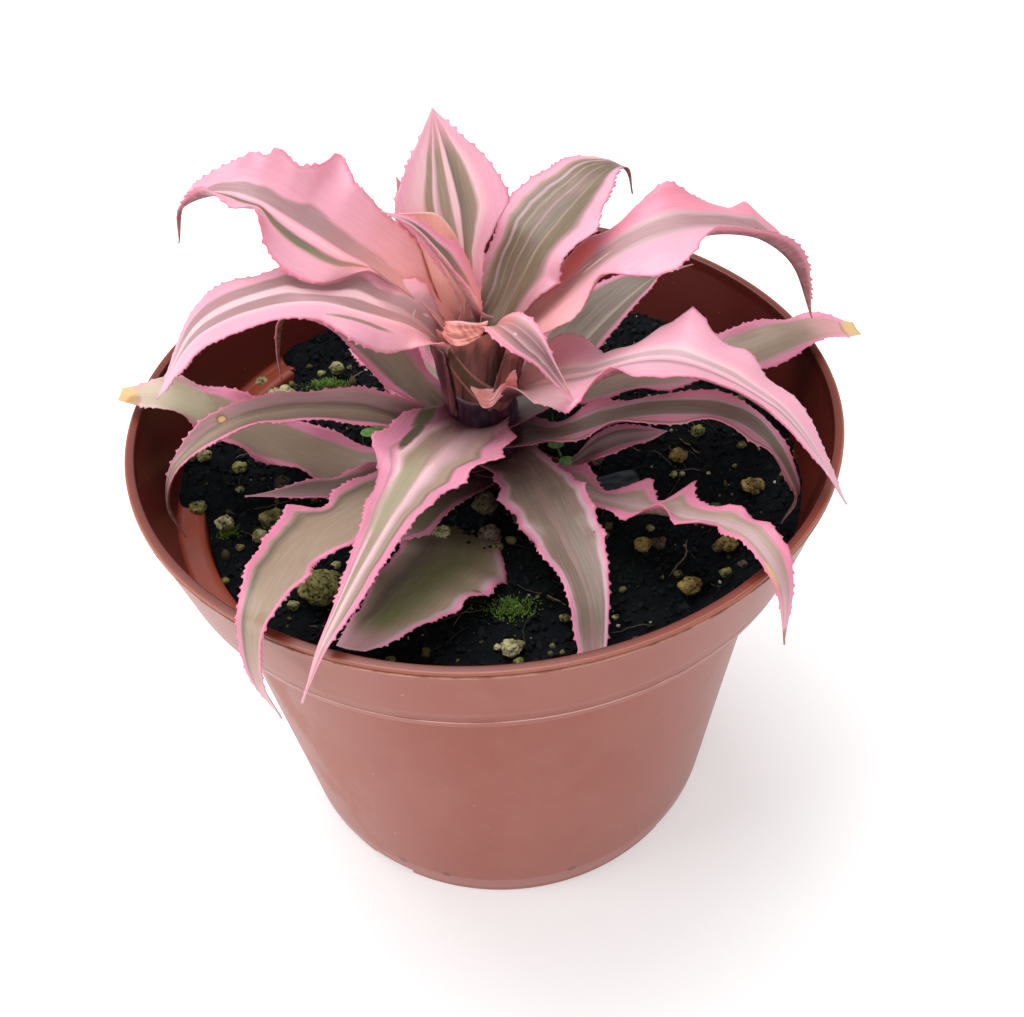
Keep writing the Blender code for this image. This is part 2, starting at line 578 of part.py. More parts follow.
def build_seedling(name, parts, cutters, place_mm, height, turn):
    """Two round seed leaves side by side on one thin stalk, joined into one body."""
    x, y = (value * MM for value in place_mm)
    foot = soil_height(x, y) + GAP
    height *= MM
    stalk = bmesh.new()
    bmesh.ops.create_cone(
        stalk, cap_ends=True, segments=8, radius1=SEED_STALK_RADIUS,
        radius2=SEED_STALK_RADIUS, depth=height, matrix=Matrix.Translation((0, 0, height / 2)))
    mesh = bpy.data.meshes.new(name)
    stalk.to_mesh(mesh)
    stalk.free()
    seedling = place(name, mesh, parts, SEEDLING_COLOUR, 0.5)
    seedling.location = (x, y, foot)
    seedling.rotation_euler = (0, 0, math.radians(turn))
    for label, sign in (("first", 1), ("second", -1)):
        disc = bmesh.new()
        shape = Matrix.Diagonal(
            (SEED_LEAF_RADIUS, 0.8 * SEED_LEAF_RADIUS, SEED_LEAF_THICKNESS, 1))
        middle = Matrix.Translation((0.8 * sign * SEED_LEAF_RADIUS, 0, height))
        bmesh.ops.create_uvsphere(
            disc, u_segments=12, v_segments=6, radius=1, matrix=middle @ shape)
        half = bpy.data.meshes.new(name + "_" + label)
        disc.to_mesh(half)
        disc.free()
        seed_leaf = place(name + "_" + label, half, cutters)
        seed_leaf.parent = seedling
        seed_leaf.hide_render = True
        seed_leaf.display_type = "WIRE"
        union = seedling.modifiers.new(label, "BOOLEAN")
        union.operation = "UNION"
        union.solver = "EXACT"
        union.object = seed_leaf


def build():
    for leftover in list(bpy.data.objects):
        bpy.data.objects.remove(leftover)
    parts = collection("potted_earth_star")
    cutters = collection("cutters")
    build_pot(parts, cutters)
    build_soil(parts, cutters)
    build_stem(parts)
    for name, shape in LEAVES.items():
        colour = OLIVE_LEAF if name in OLIVE_LEAVES else PINK_LEAF
        build_leaf(name, parts, colour, shape)
    for seed, (name, grain) in enumerate(STONES.items()):
        build_stone(name, parts, grain["place"], grain["size"], grain["colour"], seed)
    build_chip(parts)
    for name, sprout in SEEDLINGS.items():
        build_seedling(
            name, parts, cutters, sprout["place"], sprout["height"], sprout["turn"])


build()
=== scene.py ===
"""Looks of the potted earth star (Cryptanthus) in a 14 cm nursery pot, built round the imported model.

Metres, +Z up, origin at the centre of the pot's underside, -Y is the front. The pot, the soil,
the stem, every leaf and every loose grain are rebuilt here finer than in the solids, in the
space that the solids hold, and each gets a procedural material.
"""

import math

import bmesh
import bpy
import numpy as np
from mathutils import Matrix, Quaternion, Vector, noise

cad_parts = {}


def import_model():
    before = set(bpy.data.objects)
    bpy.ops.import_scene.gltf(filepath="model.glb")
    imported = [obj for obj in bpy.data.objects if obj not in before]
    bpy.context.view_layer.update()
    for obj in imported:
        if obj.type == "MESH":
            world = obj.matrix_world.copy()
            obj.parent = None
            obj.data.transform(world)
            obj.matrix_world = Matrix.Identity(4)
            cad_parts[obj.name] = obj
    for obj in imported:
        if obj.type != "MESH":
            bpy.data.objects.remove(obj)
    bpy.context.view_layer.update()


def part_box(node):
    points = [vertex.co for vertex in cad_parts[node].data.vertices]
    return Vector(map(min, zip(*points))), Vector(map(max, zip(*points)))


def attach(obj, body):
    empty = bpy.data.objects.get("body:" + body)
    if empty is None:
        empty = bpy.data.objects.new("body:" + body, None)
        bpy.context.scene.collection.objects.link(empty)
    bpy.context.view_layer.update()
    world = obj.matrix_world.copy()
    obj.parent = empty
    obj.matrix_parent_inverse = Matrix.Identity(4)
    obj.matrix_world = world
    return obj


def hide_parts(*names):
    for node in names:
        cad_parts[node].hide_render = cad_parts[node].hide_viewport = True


MM = 0.001

# Camera: where it stands, what it looks at, its roll and its lens
CAMERA_PLACE = (0, -175.7 * MM, 240.8 * MM)
CAMERA_AIM = (4.6 * MM, 0, 74.1 * MM)
CAMERA_ROLL = -3.017
CAMERA_LENS = 38.81
SENSOR_WIDTH = 36

# Lights: name, place, size and power
LIGHT_AIM = (0, 0, 0.09)
DAYLIGHT = 0.48
LIGHTS = (
    ("top_light", (-0.15, 0.25, 0.95), 0.7, 6.4),
    ("left_light", (-0.9, -0.2, 0.5), 0.5, 3.4),
    ("front_fill", (0.2, -1.0, 0.6), 1.0, 2.6))

# Pot
RIM_RADIUS = 70 * MM
POT_HEIGHT = 106 * MM
COLLAR_HEIGHT = 20.5 * MM
STEP_HEIGHT = POT_HEIGHT - COLLAR_HEIGHT    # the ledge between body and collar
COLLAR_FOOT_RADIUS = 65.5 * MM
BODY_TOP_RADIUS = 60.4 * MM
BASE_RADIUS = 50.9 * MM
WALL = 1.2 * MM
LIP_WIDTH = 1.8 * MM
LIP_HEIGHT = 2.4 * MM
EDGE_HEIGHT = 0.6 * MM
GROOVE_DEPTH = 0.5 * MM
FLOOR_THICKNESS = 1.6 * MM
RECESS_HEIGHT = 2.2 * MM
FLOOR_HEIGHT = RECESS_HEIGHT + FLOOR_THICKNESS
FOOT_RING_WIDTH = 9 * MM
FOOT_HEIGHT = 2.8 * MM
FOOT_INSET = 0.4 * MM
CENTRE_PAD_RADIUS = 16 * MM
DRAIN_COUNT = 9
DRAIN_HOLE_RADIUS = 4 * MM
DRAIN_CIRCLE_RADIUS = 33 * MM
NOTCH_TURNS = (-146, -125, -41, -20, 34, 55, 139, 160)     # gaps in the foot, in degrees
NOTCH_WIDTH = 11 * MM
NOTCH_HEIGHT = 1.9 * MM
MOULD_LINE = 2.7 * MM               # a fine line in the collar, above its lower edge
FOOT_LINE = 7.6 * MM                # below this the wall is paler
PIT_TURNS = (-120, -108, -76)       # small pits along that line, in degrees
POT_STEPS = 288

# Soil and stem
SOIL_TOP = 84.6 * MM
SOIL_CROWN = 0.5 * MM
SOIL_GAP = 0.3 * MM                 # between the soil and the pot's wall
SOIL_BANK = 54 * MM                 # where the soil starts to rise towards the ledge
LEDGE_SOIL = 3.4 * MM               # how much higher the soil lies on the ledge inside the wall
BARE_LEDGE = ((139, 160), (188, 226))   # where the ledge shows, in degrees
SOIL_BLACK = (0.0006, 0.0014, 0.0034)
GRAIN_FLATNESS = 0.7
CRUMB_COUNT = 8500
PERLITE_COUNT = 190
GRAVEL_COUNT = 170
FIBRE_COUNT = 150
SHOOT_COUNT = 420                   # in each tuft of moss
STEM_RADIUS = 5.2 * MM
STEM_DEPTH = 14 * MM
STEM_NARROWS = 106 * MM
STEM_TOP = 120.5 * MM
STEM_TIP_RADIUS = 1.6 * MM

# Leaves: see LEAVES below for the numbers of each one
LEAF_MIDDLE_THICKNESS = 0.85 * MM
LEAF_EDGE_THICKNESS = 0.22 * MM
LEAF_TIP_HALF_WIDTH = 0.22 * MM
BLADE_COLUMNS = np.array([0, 0.09, 0.19, 0.30, 0.42, 0.54, 0.66, 0.78, 0.88, 0.95, 1.0])  # half a row
CUP_POWER = 1.5
WAVE_POWER = 2.5
DEFAULT_CUP = (0.3, 0.2)
ROW_SPACING = 0.50 * MM             # between the rows of points along a leaf
TOOTH_LENGTH = 0.55 * MM
TOOTH_SPACING = (2, 5)              # rows from one tooth to the next
CUSP_REACH = 4.5 * MM               # how far along the margin one of the larger points spreads
DIP_REACH = 6.5 * MM                # and one of the hollows between them
FLUSH = (26, 8, 0.75, "peach")      # where the base colour starts and is full (mm), its share and name
FOOT = 6                            # mm of sheath below the point where a solid leaf starts
SHEATH = (12, 70, 70)               # mm that wrap the stem, and degrees to the left and right
SHEATH_WIDTH = 6.5 * MM             # the least half width of that part

# Linear colours of the leaf
PALETTE = {
    "pink": (0.93, 0.42, 0.54),
    "rose": (0.86, 0.22, 0.36),
    "mallow": (0.77, 0.27, 0.41),
    "coral": (0.92, 0.30, 0.41),
    "pale": (0.95, 0.60, 0.64),
    "peach": (0.95, 0.38, 0.33),
    "salmon": (0.92, 0.20, 0.15),
    "apricot": (0.95, 0.40, 0.30),
    "bronze": (0.15, 0.085, 0.045),
    "mauve": (0.42, 0.24, 0.25),
    "lilac": (0.60, 0.40, 0.43),
    "olive": (0.200, 0.145, 0.105),
    "khaki": (0.195, 0.145, 0.085),
    "plum": (0.24, 0.10, 0.12),
    "umber": (0.26, 0.165, 0.135),
    "tan": (0.38, 0.275, 0.195),
    "dark": (0.130, 0.100, 0.070),
    "fern": (0.085, 0.085, 0.045),
    "sage": (0.40, 0.37, 0.24),
    "moss": (0.20, 0.20, 0.085),
    "maroon": (0.075, 0.018, 0.028),
    "brown": (0.30, 0.13, 0.05),
    "straw": (0.72, 0.50, 0.22),
    "cream": (0.60, 0.58, 0.38),
    "white": (0.85, 0.80, 0.74),
}


def edge(*half, wave=(0, 0), cusps=(), lobes=()):
    """One margin of a leaf; the last number of a cusp or lobe may be left out where it is 0."""
    cusps, lobes = ([(*knot, 0)[:3] for knot in knots] for knots in (cusps, lobes))
    return half, wave, cusps, lobes and [(0, 0, 0), *lobes, (1, 0, 0)]


# Each leaf is a strip round a midrib. The midrib leaves the stem at an azimuth in degrees
# (0 is +X, -90 is the front) and runs through points of (reach, sideways, height) in mm.
# An edge has half widths in mm at even steps from the stem to the tip. Its wave lifts or drops
# it in mm, at even steps too. A cusp is one larger point or hollow: its share of the way to the
# tip, mm outward and mm up. Lobes are the same three numbers for knots of one smooth line.
# roll turns the blade in degrees, and cup lifts both margins. flush, foot and sheath stand in
# for FLUSH, FOOT and SHEATH. Marks are soft patches: (aside, along) and (half width, half
# length) in mm, colour and strength. base is the colour near the stem, and stripes are colours
# across the blade, from the left margin at 1 to the right one at -1. Both margins are rose.
# The shapes follow the solids, but for lobes and cusps and a few widths and bases.
LEAVES = {
    "leaf_top_back": dict(
        azimuth=103, base="peach",
        midrib=((5.4, 0, 115.5), (6.4, 0, 124), (12, 0, 137), (20, 0, 148), (25, 0, 154.5)),
        left=edge(1.8, 3, 7, 10, 11, 11, 8, 4, 0,
            lobes=((0.1, -0.5), (0.2, -3.5), (0.3, -5), (0.4, -4.6), (0.5, -2.6), (0.58, 0))),
        right=edge(1.5, 2.2, 6.5, 10, 11, 10, 8, 4, 0,
            lobes=(
                (0.1, 0), (0.2, -2.5), (0.3, -5), (0.4, -6.2), (0.49, -3.8), (0.525, -2.2),
                (0.575, 0))),
        stripes={
            0.93: "pink", 0.52: "pale", 0.45: "tan", 0.35: "tan", 0.31: "pale", 0.24: "lilac",
            0.2: "tan", 0.05: "tan", 0: "pale", -0.09: "pale", -0.14: "olive", -0.42: "tan",
            -0.5: "pale", -0.7: "pink", -0.95: "pink"}),
    "leaf_top_back_left": dict(
        azimuth=124, base="peach", flush=(36, 14, 0.9, "salmon"),
        midrib=((5.9, 0, 111.5), (10, 0, 120), (17, 0, 131), (24, 0, 143.5)),
        left=edge(2, 2.5, 3, 3.5, 4, 4, 4, 2, 0),
        right=edge(2.5, 4, 6, 6, 6, 5, 4, 2, 0),
        stripes={0.9: "pink", 0.6: "apricot", -0.7: "apricot", -0.9: "peach"}),
    "leaf_upper_left": dict(
        azimuth=162, base="peach", flush=(42, 14, 0.85, "peach"), roll=(0, -10, -15, -12, 0),
        midrib=(
            (5.3, 0, 117.2), (9, 0, 124), (16, 0, 129.5), (31, 0, 139.5), (44, 0, 145.5), (56, 0, 142),
            (59.5, 0, 133.5)),
        left=edge(2, 3.5, 7, 9, 9, 6, 4, 2, 0,
            wave=(0, 0, 0, 0, -1, 3, 3, 0, 0),
            lobes=(
                (0.1, -3.5), (0.17, -6.5), (0.25, -7.6), (0.31, -7), (0.35, -4, -1.6),
                (0.385, -0.6, -2.6), (0.42, 0.4, -3.2), (0.445, 0.4, -3.2), (0.515, 0.5, -3.2),
                (0.545, 0.8, -3.2), (0.575, 0.8, -2.4), (0.597, 0.3, 0.2), (0.62, -1.1),
                (0.645, 0.2, -1.4), (0.672, 0.9, -2.6), (0.71, 0.4, -1.4), (0.76, -1.2), (0.85, 0))),
        right=edge(2, 3.5, 8, 9.5, 10, 8, 4.5, 2.5, 0,
            wave=(0, 0, 3, 4, 5, 3, 0.5, 0, 0),
            lobes=(
                (0.25, -0.5), (0.372, -1.5), (0.45, -1.3), (0.495, 1.4), (0.525, 2.5, 0.5),
                (0.545, -0.7), (0.588, -2), (0.615, -0.6, 0.5), (0.635, 0.3, 1.5), (0.656, -0.8),
                (0.685, 1.2), (0.72, 0.3, 0.3), (0.763, 1.4), (0.787, 0, 0.8), (0.84, 0, 0.4),
                (0.9, 0))),
        marks=(((-2.6, 25), (0.12, 1.2), "white", 0.35), ((-3.6, 23.5), (0.12, 0.9), "white", 0.3)),
        stripes={
            0.95: "pink", 0.6: "pink", 0.52: "moss", 0.4: "olive", 0.33: "pink", 0.2: "pale",
            0.1: "pink", 0.05: "mauve", -0.3: "mauve", -0.4: "pink", -0.95: "pink"}),
    "leaf_left": dict(
        azimuth=182, base="peach", flush=(30, 12, 0.5, "peach"), roll=(0, -5, -8, -5, 0),
        midrib=(
            (5.7, 0, 112.5), (8.5, 0, 119.5), (15, 0, 125.5), (32, 0, 131.5), (50, 0, 127),
            (63, 0, 112)),
        left=edge(2.5, 5, 7.5, 8.5, 8.5, 8, 7, 4, 0,
            wave=(0, -2, -5, -2, 0, 0, -1, -1, 0),
            lobes=(
                (0.07, 0, 2), (0.105, 0.5, 4.5), (0.145, 0.5, 3.2), (0.18, 0, 0.9), (0.265, 0.4),
                (0.3, 0.8), (0.348, 0.1), (0.413, -2.4), (0.5, -1), (0.6, 0))),
        right=edge(2, 3.5, 7, 8.5, 7.5, 7, 5, 3, 0,
            wave=(0, 0, 0, -1, -2, -1, 0, 0, 0),
            lobes=(
                (0.15, 0, 3), (0.188, 0, 4.6), (0.215, 0.4, 3), (0.253, 0.9, 0.2), (0.283, 0, 0.2),
                (0.305, 0.8, 1.8), (0.333, 1.6, 3.2), (0.355, 0.4, 1.2), (0.378, -1.8), (0.418, -3.4),
                (0.468, -2), (0.49, 0, 1), (0.505, 1.5, 1.5), (0.54, 0.6, 0.8), (0.585, 0.2, 0.3),
                (0.65, 0.8, 0.6), (0.72, 2), (0.78, 1.9), (0.85, 0.8), (0.95, 0))),
        marks=(
            ((4.5, 29.5), (0.5, 6.5), "moss", 0.8), ((-2.6, 19.5), (2.4, 7), "mauve", 0.6),
            ((-2.3, 19.5), (0.8, 0.15), "white", 0.5), ((-2.9, 17.5), (0.15, 0.6), "white", 0.5),
            ((-2.9, 14.5), (0.5, 0.7), "brown", 0.7)),
        stripes={
            0.93: "pink", 0.42: "pink", 0.24: "pale", 0.17: "mauve", -0.12: "mauve", -0.2: "pale",
            -0.33: "pale", -0.41: "mauve", -0.64: "mauve", -0.74: "pink", -0.95: "pink"}),
    "leaf_upper_right": dict(
        azimuth=45, base="peach", flush=(26, 9, 0.6, "bronze"),
        midrib=(
            (4.6, 0, 118.4), (9, 0, 124), (18, 0, 132.5), (33, 0, 137.5), (41, 0, 138), (45, -0.5, 136),
            (46.3, -1.2, 130.5)),
        left=edge(1.6, 4, 7.5, 9, 9, 8.5, 7.2, 1.2, 0,
            cusps=((0.39, 0.9), (0.47, 0.9), (0.56, 0.7)),
            lobes=(
                (0.07, 0.6, 3), (0.11, 1, 4.6), (0.17, 0.8, 3), (0.25, 0, 0.3), (0.3, -0.5), (0.4, 0))),
        right=edge(2, 6, 9, 10.5, 10, 7.2, 3.4, 1, 0,
            cusps=((0.54, 0.6, 1.8), (0.445, 1.2), (0.32, -1.1), (0.25, 0.6, -2))),
        marks=(((0, 56), (3, 7), "tan", 0.75), ((0, 50), (2.4, 2.6), "dark", 0.5)),
        stripes={
            0.93: "pink", 0.84: "pink", 0.76: "tan", 0.66: "khaki", 0.6: "lilac", 0.54: "khaki",
            0.46: "khaki", 0.42: "tan", 0.38: "khaki", 0.24: "khaki", 0.2: "mauve", 0.16: "khaki",
            -0.1: "olive", -0.14: "tan", -0.2: "khaki", -0.45: "khaki", -0.56: "mauve", -0.68: "pink",
            -0.95: "pink"}),
    "leaf_right": dict(
        azimuth=9, base="peach", flush=(36, 12, 0.75, "peach"), roll=(0, 0, 10, 10, 0),
        midrib=(
            (5.4, 0, 115.5), (15, 0, 124), (32, 0, 135), (50, 0, 134.8), (62, 0, 126.5),
            (69, 0, 111.5)),
        left=edge(2.5, 5.5, 8, 9, 9, 8, 6, 4, 0,
            wave=(0, -1, -1, -3, 0.5, -3, -1, 0, 0),
            cusps=((0.49, 0.6, 1.2), (0.56, -1), (0.685, 3.2), (0.3, 0.8))),
        right=edge(2.5, 7, 9, 9.5, 8.5, 5, 3, 2, 0,
            wave=(0, 0, -1, -2.5, 0, 2, 3, 1, 0),
            lobes=(
                (0.11, 1.5), (0.15, 2.3), (0.188, 3.5), (0.225, 2.2, 1), (0.25, 0.4, 2.4),
                (0.28, -3.8, 3.2), (0.305, -3.8, 2.5), (0.335, -2.6, 0.3), (0.385, 0.9), (0.438, 1.7),
                (0.485, -0.2, -0.3), (0.503, -1, 1.8), (0.53, -1.5, 3.2), (0.58, -1, 1.8),
                (0.64, 0, 0.5), (0.7, 0))),
        marks=(
            ((1.6, 30), (0.22, 3.5), "white", 0.6), ((2.6, 27), (0.2, 2.5), "white", 0.5),
            ((6.5, 23), (4, 9), "salmon", 0.7), ((1.1, 62.2), (0.5, 0.5), "brown", 0.9)),
        stripes={
            0.95: "coral", 0.54: "coral", 0.42: "lilac", 0.3: "mauve", 0.06: "mauve", -0.08: "lilac",
            -0.2: "pink", -0.95: "pink"}),
    "leaf_heart_left": dict(
        azimuth=175, base="peach", cup=(0.6, 0.5),
        midrib=(
            (0, 0, 121.8), (1, 0, 127), (3.5, 0, 133), (7, 0, 139), (10.5, 0, 143.5), (15.5, 0, 146.5)),
        left=edge(2.4, 4, 4.2, 3.5, 2.8, 2.2, 1.6, 0.9, 0),
        right=edge(2, 3, 3.5, 4, 4, 3, 2, 1, 0),
        stripes={
            0.7: "pink", 0.55: "olive", 0.25: "mauve", 0.12: "pale", -0.05: "pale", -0.15: "olive",
            -0.45: "olive", -0.6: "pink"}),
    "leaf_heart_front": dict(
        azimuth=-47, base="peach", cup=(0.4, 0.4), foot=10, sheath=(8, 60, 60),
        midrib=((3, 0, 120.6), (8, 0, 125.9), (15, 0, 124.6), (20.6, 0, 120), (24.6, 0, 115.6)),
        left=edge(2, 3, 3, 3, 2.2, 1.2, 0.7, 0.4, 0),
        right=edge(2, 4, 5, 7, 7, 5, 3, 1.5, 0),
        marks=(
            ((-2, 20.9), (0.35, 0.35), "white", 0.8), ((-2, 27.6), (0.3, 0.8), "straw", 0.4),
            ((0, 33.5), (0.7, 1), "straw", 0.5)),
        stripes={
            0.8: "pink", 0.6: "mauve", 0.4: "plum", 0.12: "plum", 0.04: "lilac", -0.04: "plum",
            -0.3: "mauve", -0.38: "lilac", -0.46: "plum", -0.72: "mauve", -0.82: "pink"}),
    "leaf_right_front": dict(
        azimuth=-24, base="peach", roll=(0, 0, -5, -10, -10), sheath=(9, 50, 70),
        midrib=(
            (6, 0, 107), (20, 0, 114.5), (38, -1, 123), (56, -3, 119), (66, -8, 113.5),
            (72.5, -10.5, 106.5)),
        left=edge(2.5, 6, 9, 9.5, 9.5, 8, 5.5, 3, 0,
            wave=(0, 0, -3, -1.5, 1, 1, 0, 0, 0),
            cusps=(
                (0.33, -0.4, -0.9), (0.47, 1.2, 2.4), (0.565, -0.5, -2), (0.61, 1), (0.67, -0.4, -1.4)),
            lobes=(
                (0.08, 1, 1), (0.11, 4.2, 1.5), (0.147, 5.4, 0.5), (0.195, 3), (0.235, -0.8, -0.4),
                (0.28, 0))),
        right=edge(2.5, 6, 9, 9.5, 8.5, 7, 5, 2.5, 0,
            wave=(0, 1, -1, 0, 0, 0, 0, 0, 0),
            lobes=(
                (0.07, 1.5, 2.5), (0.088, 0.6, 0.8), (0.11, 0.5, -2.8), (0.18, 1.2, -2.6),
                (0.24, 3, -2.2), (0.268, 1, -1.2), (0.3, -2.2, 1), (0.355, -2.6, 2.5), (0.385, -1, 2.3),
                (0.43, 1.8, 0.4), (0.487, 1.7), (0.512, 0.6, 0.6), (0.557, 0.2, 1.5), (0.63, -2, 0.8),
                (0.69, -0.2, 0.9), (0.75, 0))),
        # the pale patch on the near margin is painted light, and the coral patch on the far lobe is
        # painted shade
        marks=(((8, 17), (4.5, 5), "coral", 0.45), ((-6, 17), (4, 7), "pale", 0.6)),
        stripes={
            0.95: "pink", 0.5: "pink", 0.3: "pale", 0.24: "lilac", 0.14: "lilac", 0.08: "pale",
            -0.02: "pink", -0.08: "mauve", -0.16: "lilac", -0.24: "pink", -0.9: "pink"}),
    "leaf_back_right": dict(
        azimuth=38,
        midrib=((6, 0, 93.6), (21, 0, 101), (36, 0, 107.5), (51, 0, 111), (62, 0, 109)),
        left=edge(2.5, 6, 8, 9, 9, 8, 5, 1.5, 0,
            cusps=((0.8, -3.4), (0.9, -1.5))),
        right=edge(2.5, 4, 5, 5, 4, 3, 2, 1, 0,
            cusps=((0.82, -1.4),)),
        marks=(((0, 66), (3, 7), "brown", 0.7),),
        stripes={
            0.9: "pink", 0.8: "olive", 0.08: "olive", 0.03: "tan", -0.03: "tan", -0.08: "olive",
            -0.62: "olive", -0.76: "mauve", -0.84: "pink"}),
    "leaf_back_left": dict(
        azimuth=160,
        midrib=(
            (6.2, 0, 94), (15, 0, 104), (23, 0, 113.5), (33, 0, 119.5), (41, 0, 118), (44, 0, 110),
            (45, 0, 102)),
        left=edge(2, 3, 5, 6, 5, 3, 1.5, 0.8, 0),
        right=edge(2.5, 6, 7, 7, 6, 3.5, 1.5, 0.8, 0),
        stripes={0.8: "pink", 0.6: "olive", -0.6: "tan", -0.8: "pink"}),
    "leaf_front": dict(
        azimuth=-114,
        midrib=((6.2, 0, 102), (21, -2, 106), (47, -1, 108.5), (70, 1, 109), (77, 0, 102.5)),
        left=edge(2.5, 12, 12, 7, 4.5, 3.8, 3, 1.2, 0,
            cusps=((0.1, 3), (0.21, 2.5), (0.262, -1.4), (0.32, 1.2), (0.42, 1))),
        right=edge(2.5, 9, 9, 6.5, 4, 2.5, 1.2, 0.6, 0,
            wave=(0, 1.5, 1, 0, 0, 0, 0, 0, 0),
            cusps=((0.25, 2, 1), (0.3, -0.5, -2.2), (0.36, -0.4, -2))),
        marks=(
            ((-5.8, 19), (0.9, 5), "fern", 0.95), ((-6.6, 13), (1.3, 4.5), "fern", 0.95),
            ((-1.5, 34), (2.2, 14), "sage", 0.7), ((3, 17), (6, 9), "mauve", 0.45)),
        stripes={
            0.95: "pink", 0.72: "pink", 0.64: "olive", 0.56: "tan", 0.42: "tan", 0.3: "lilac",
            0.12: "pale", 0: "tan", -0.34: "tan", -0.48: "pale", -0.6: "pink", -0.65: "mauve",
            -0.7: "pink", -0.9: "pink"}),
    "leaf_lower_left": dict(
        azimuth=196, cup=(0.15, 0.3),
        midrib=(
            (6, 0, 96.5), (14, 0, 101.5), (26, 0, 109.5), (46, 0, 113.5), (59, 0, 108), (64, 0, 99),
            (63, 0, 89)),
        left=edge(2.5, 3.5, 5.5, 6, 5, 3.5, 2, 1, 0,
            lobes=((0.3, -0.6), (0.443, -1.9), (0.532, -1.7), (0.6, -0.4), (0.7, 0))),
        right=edge(2, 3, 3.5, 3.5, 3.2, 2, 1.5, 0.8, 0,
            lobes=(
                (0.1, 0, 2.6), (0.138, 0, 4), (0.242, 0, 3), (0.425, 0.3, 1), (0.562, 0.5, 1.6),
                (0.652, 0.5, 2), (0.75, 0, 0.5), (0.85, 0))),
        marks=(((-1.7, 54.2), (0.7, 1.1), "brown", 0.9), ((-1.7, 54.2), (0.4, 0.7), "straw", 0.95)),
        stripes={
            0.88: "pink", 0.76: "olive", 0.1: "tan", -0.45: "olive", -0.62: "mauve", -0.92: "mauve"}),
    "leaf_lower_right": dict(
        azimuth=-24,
        midrib=((6, 0, 95.3), (16, 0, 99.5), (34, 0, 110), (52, 0, 112), (63, 0, 98), (61.5, 0, 88.6)),
        left=edge(2.5, 4, 5, 4, 4, 4, 3, 2, 0),
        right=edge(2.5, 4, 5, 5.5, 5, 4.5, 4, 2, 0),
        stripes={
            0.72: "pink", 0.6: "lilac", 0.5: "umber", 0.1: "olive", -0.36: "umber", -0.5: "lilac",
            -0.6: "pink", -0.86: "pink", -0.93: "moss"}),
    "leaf_low_back_right": dict(
        azimuth=8,
        midrib=((6, 0, 99.8), (28, 0, 103.2), (49, 0, 104.5), (66, 0, 108.3), (79, 0, 107.5)),
        left=edge(2, 3, 4, 5.5, 6, 6.5, 6.5, 5.5, 2.5),
        right=edge(2.5, 4, 5, 5.5, 6, 7, 7, 4, 2),
        marks=(((0, 79), (3.5, 2.6), "straw", 0.95), ((0, 76.6), (3, 0.4), "brown", 0.4)),
        stripes={0.84: "pink", 0.7: "tan", 0: "tan", -0.6: "tan", -0.8: "pink"}),
    "leaf_front_right": dict(
        azimuth=-69,
        midrib=((6.5, 0, 93), (14, 2.5, 95.5), (30, 1, 96.5), (48, -1, 94), (58, -5, 90), (63, -7, 87)),
        left=edge(2.5, 5, 6, 7, 6.5, 5, 3, 2, 0,
            cusps=((0.25, 0.8), (0.33, 1, 1), (0.43, 0.5, 1.4), (0.53, 0.6, 1.2))),
        right=edge(2.5, 6, 7, 6.5, 5, 4, 4, 3, 0,
            cusps=(
                (0.17, 1), (0.285, 2), (0.33, -0.5, -2), (0.395, 0.8), (0.44, -0.5, -2), (0.5, 0.9),
                (0.555, 1.2))),
        marks=(((5.4, 36.9), (0.3, 0.4), "brown", 0.8),),
        stripes={
            0.92: "pink", 0.82: "lilac", 0.72: "umber", 0.3: "olive", 0: "umber", -0.4: "olive",
            -0.7: "umber", -0.8: "lilac", -0.88: "pink"}),
    "leaf_low_right_front": dict(
        azimuth=-46,
        midrib=(
            (6, 0, 89.6), (31, 1.5, 94.5), (54, -2, 106), (64, -4, 110.5), (73, -7.5, 108.5),
            (76.5, -8.5, 96.5)),
        left=edge(2.5, 4, 4.5, 5, 4.5, 4.5, 4, 2.5, 0,
            cusps=(
                (0.19, 1.5, 1), (0.28, -2.6), (0.375, 1.8, 0.6), (0.44, -1.9), (0.5, 3.8), (0.59, -0.6),
                (0.672, 1.4), (0.7, -0.5, -1.6), (0.74, 1), (0.8, 0.8))),
        right=edge(2.5, 4, 4, 3, 2, 1.5, 1.5, 1.5, 0,
            cusps=(
                (0.35, 1, 0.8), (0.4, 1.4, -1.2), (0.49, -1.8, 2.2), (0.57, 1.5), (0.63, -1.9),
                (0.7, 1))),
        marks=(((-1, 76.3), (0.55, 2.6), "straw", 0.7), ((0, 90.3), (1.5, 3.6), "brown", 0.85)),
        stripes={0.7: "pink", 0.54: "tan", 0: "lilac", -0.5: "tan", -0.66: "pink"}),
    "leaf_front_left": dict(
        azimuth=-131,
        midrib=(
            (6.2, 0, 93.2), (32, -3, 100), (55, 2, 108), (69.5, 9.5, 110), (73.5, 12, 101),
            (72.5, 13.5, 90)),
        left=edge(2.5, 5, 7, 8.5, 8.5, 6.2, 3.5, 1.5, 0,
            cusps=((0.5, 1), (0.59, -1.2, -1), (0.66, 0.9))),
        right=edge(2.5, 5, 5, 5, 5, 4, 3, 2, 0,
            cusps=((0.4, -2), (0.465, 2.2), (0.52, 1), (0.57, 0.8), (0.65, 0.6))),
        marks=(((1.5, 74.6), (1.2, 1.5), "brown", 0.3),),
        stripes={
            0.91: "pink", 0.82: "tan", 0.4: "tan", 0.1: "tan", -0.3: "tan", -0.6: "olive", -0.72: "tan",
            -0.8: "pink"}),
    "leaf_short_right": dict(
        azimuth=-8,
        midrib=((6, 0, 82.6), (14, 0, 84.2), (18.5, 0, 88.6), (26, 0, 94.6), (37, 0, 97.5)),
        left=edge(2.5, 3.5, 3.5, 3.5, 3.5, 3.5, 3.2, 2, 0,
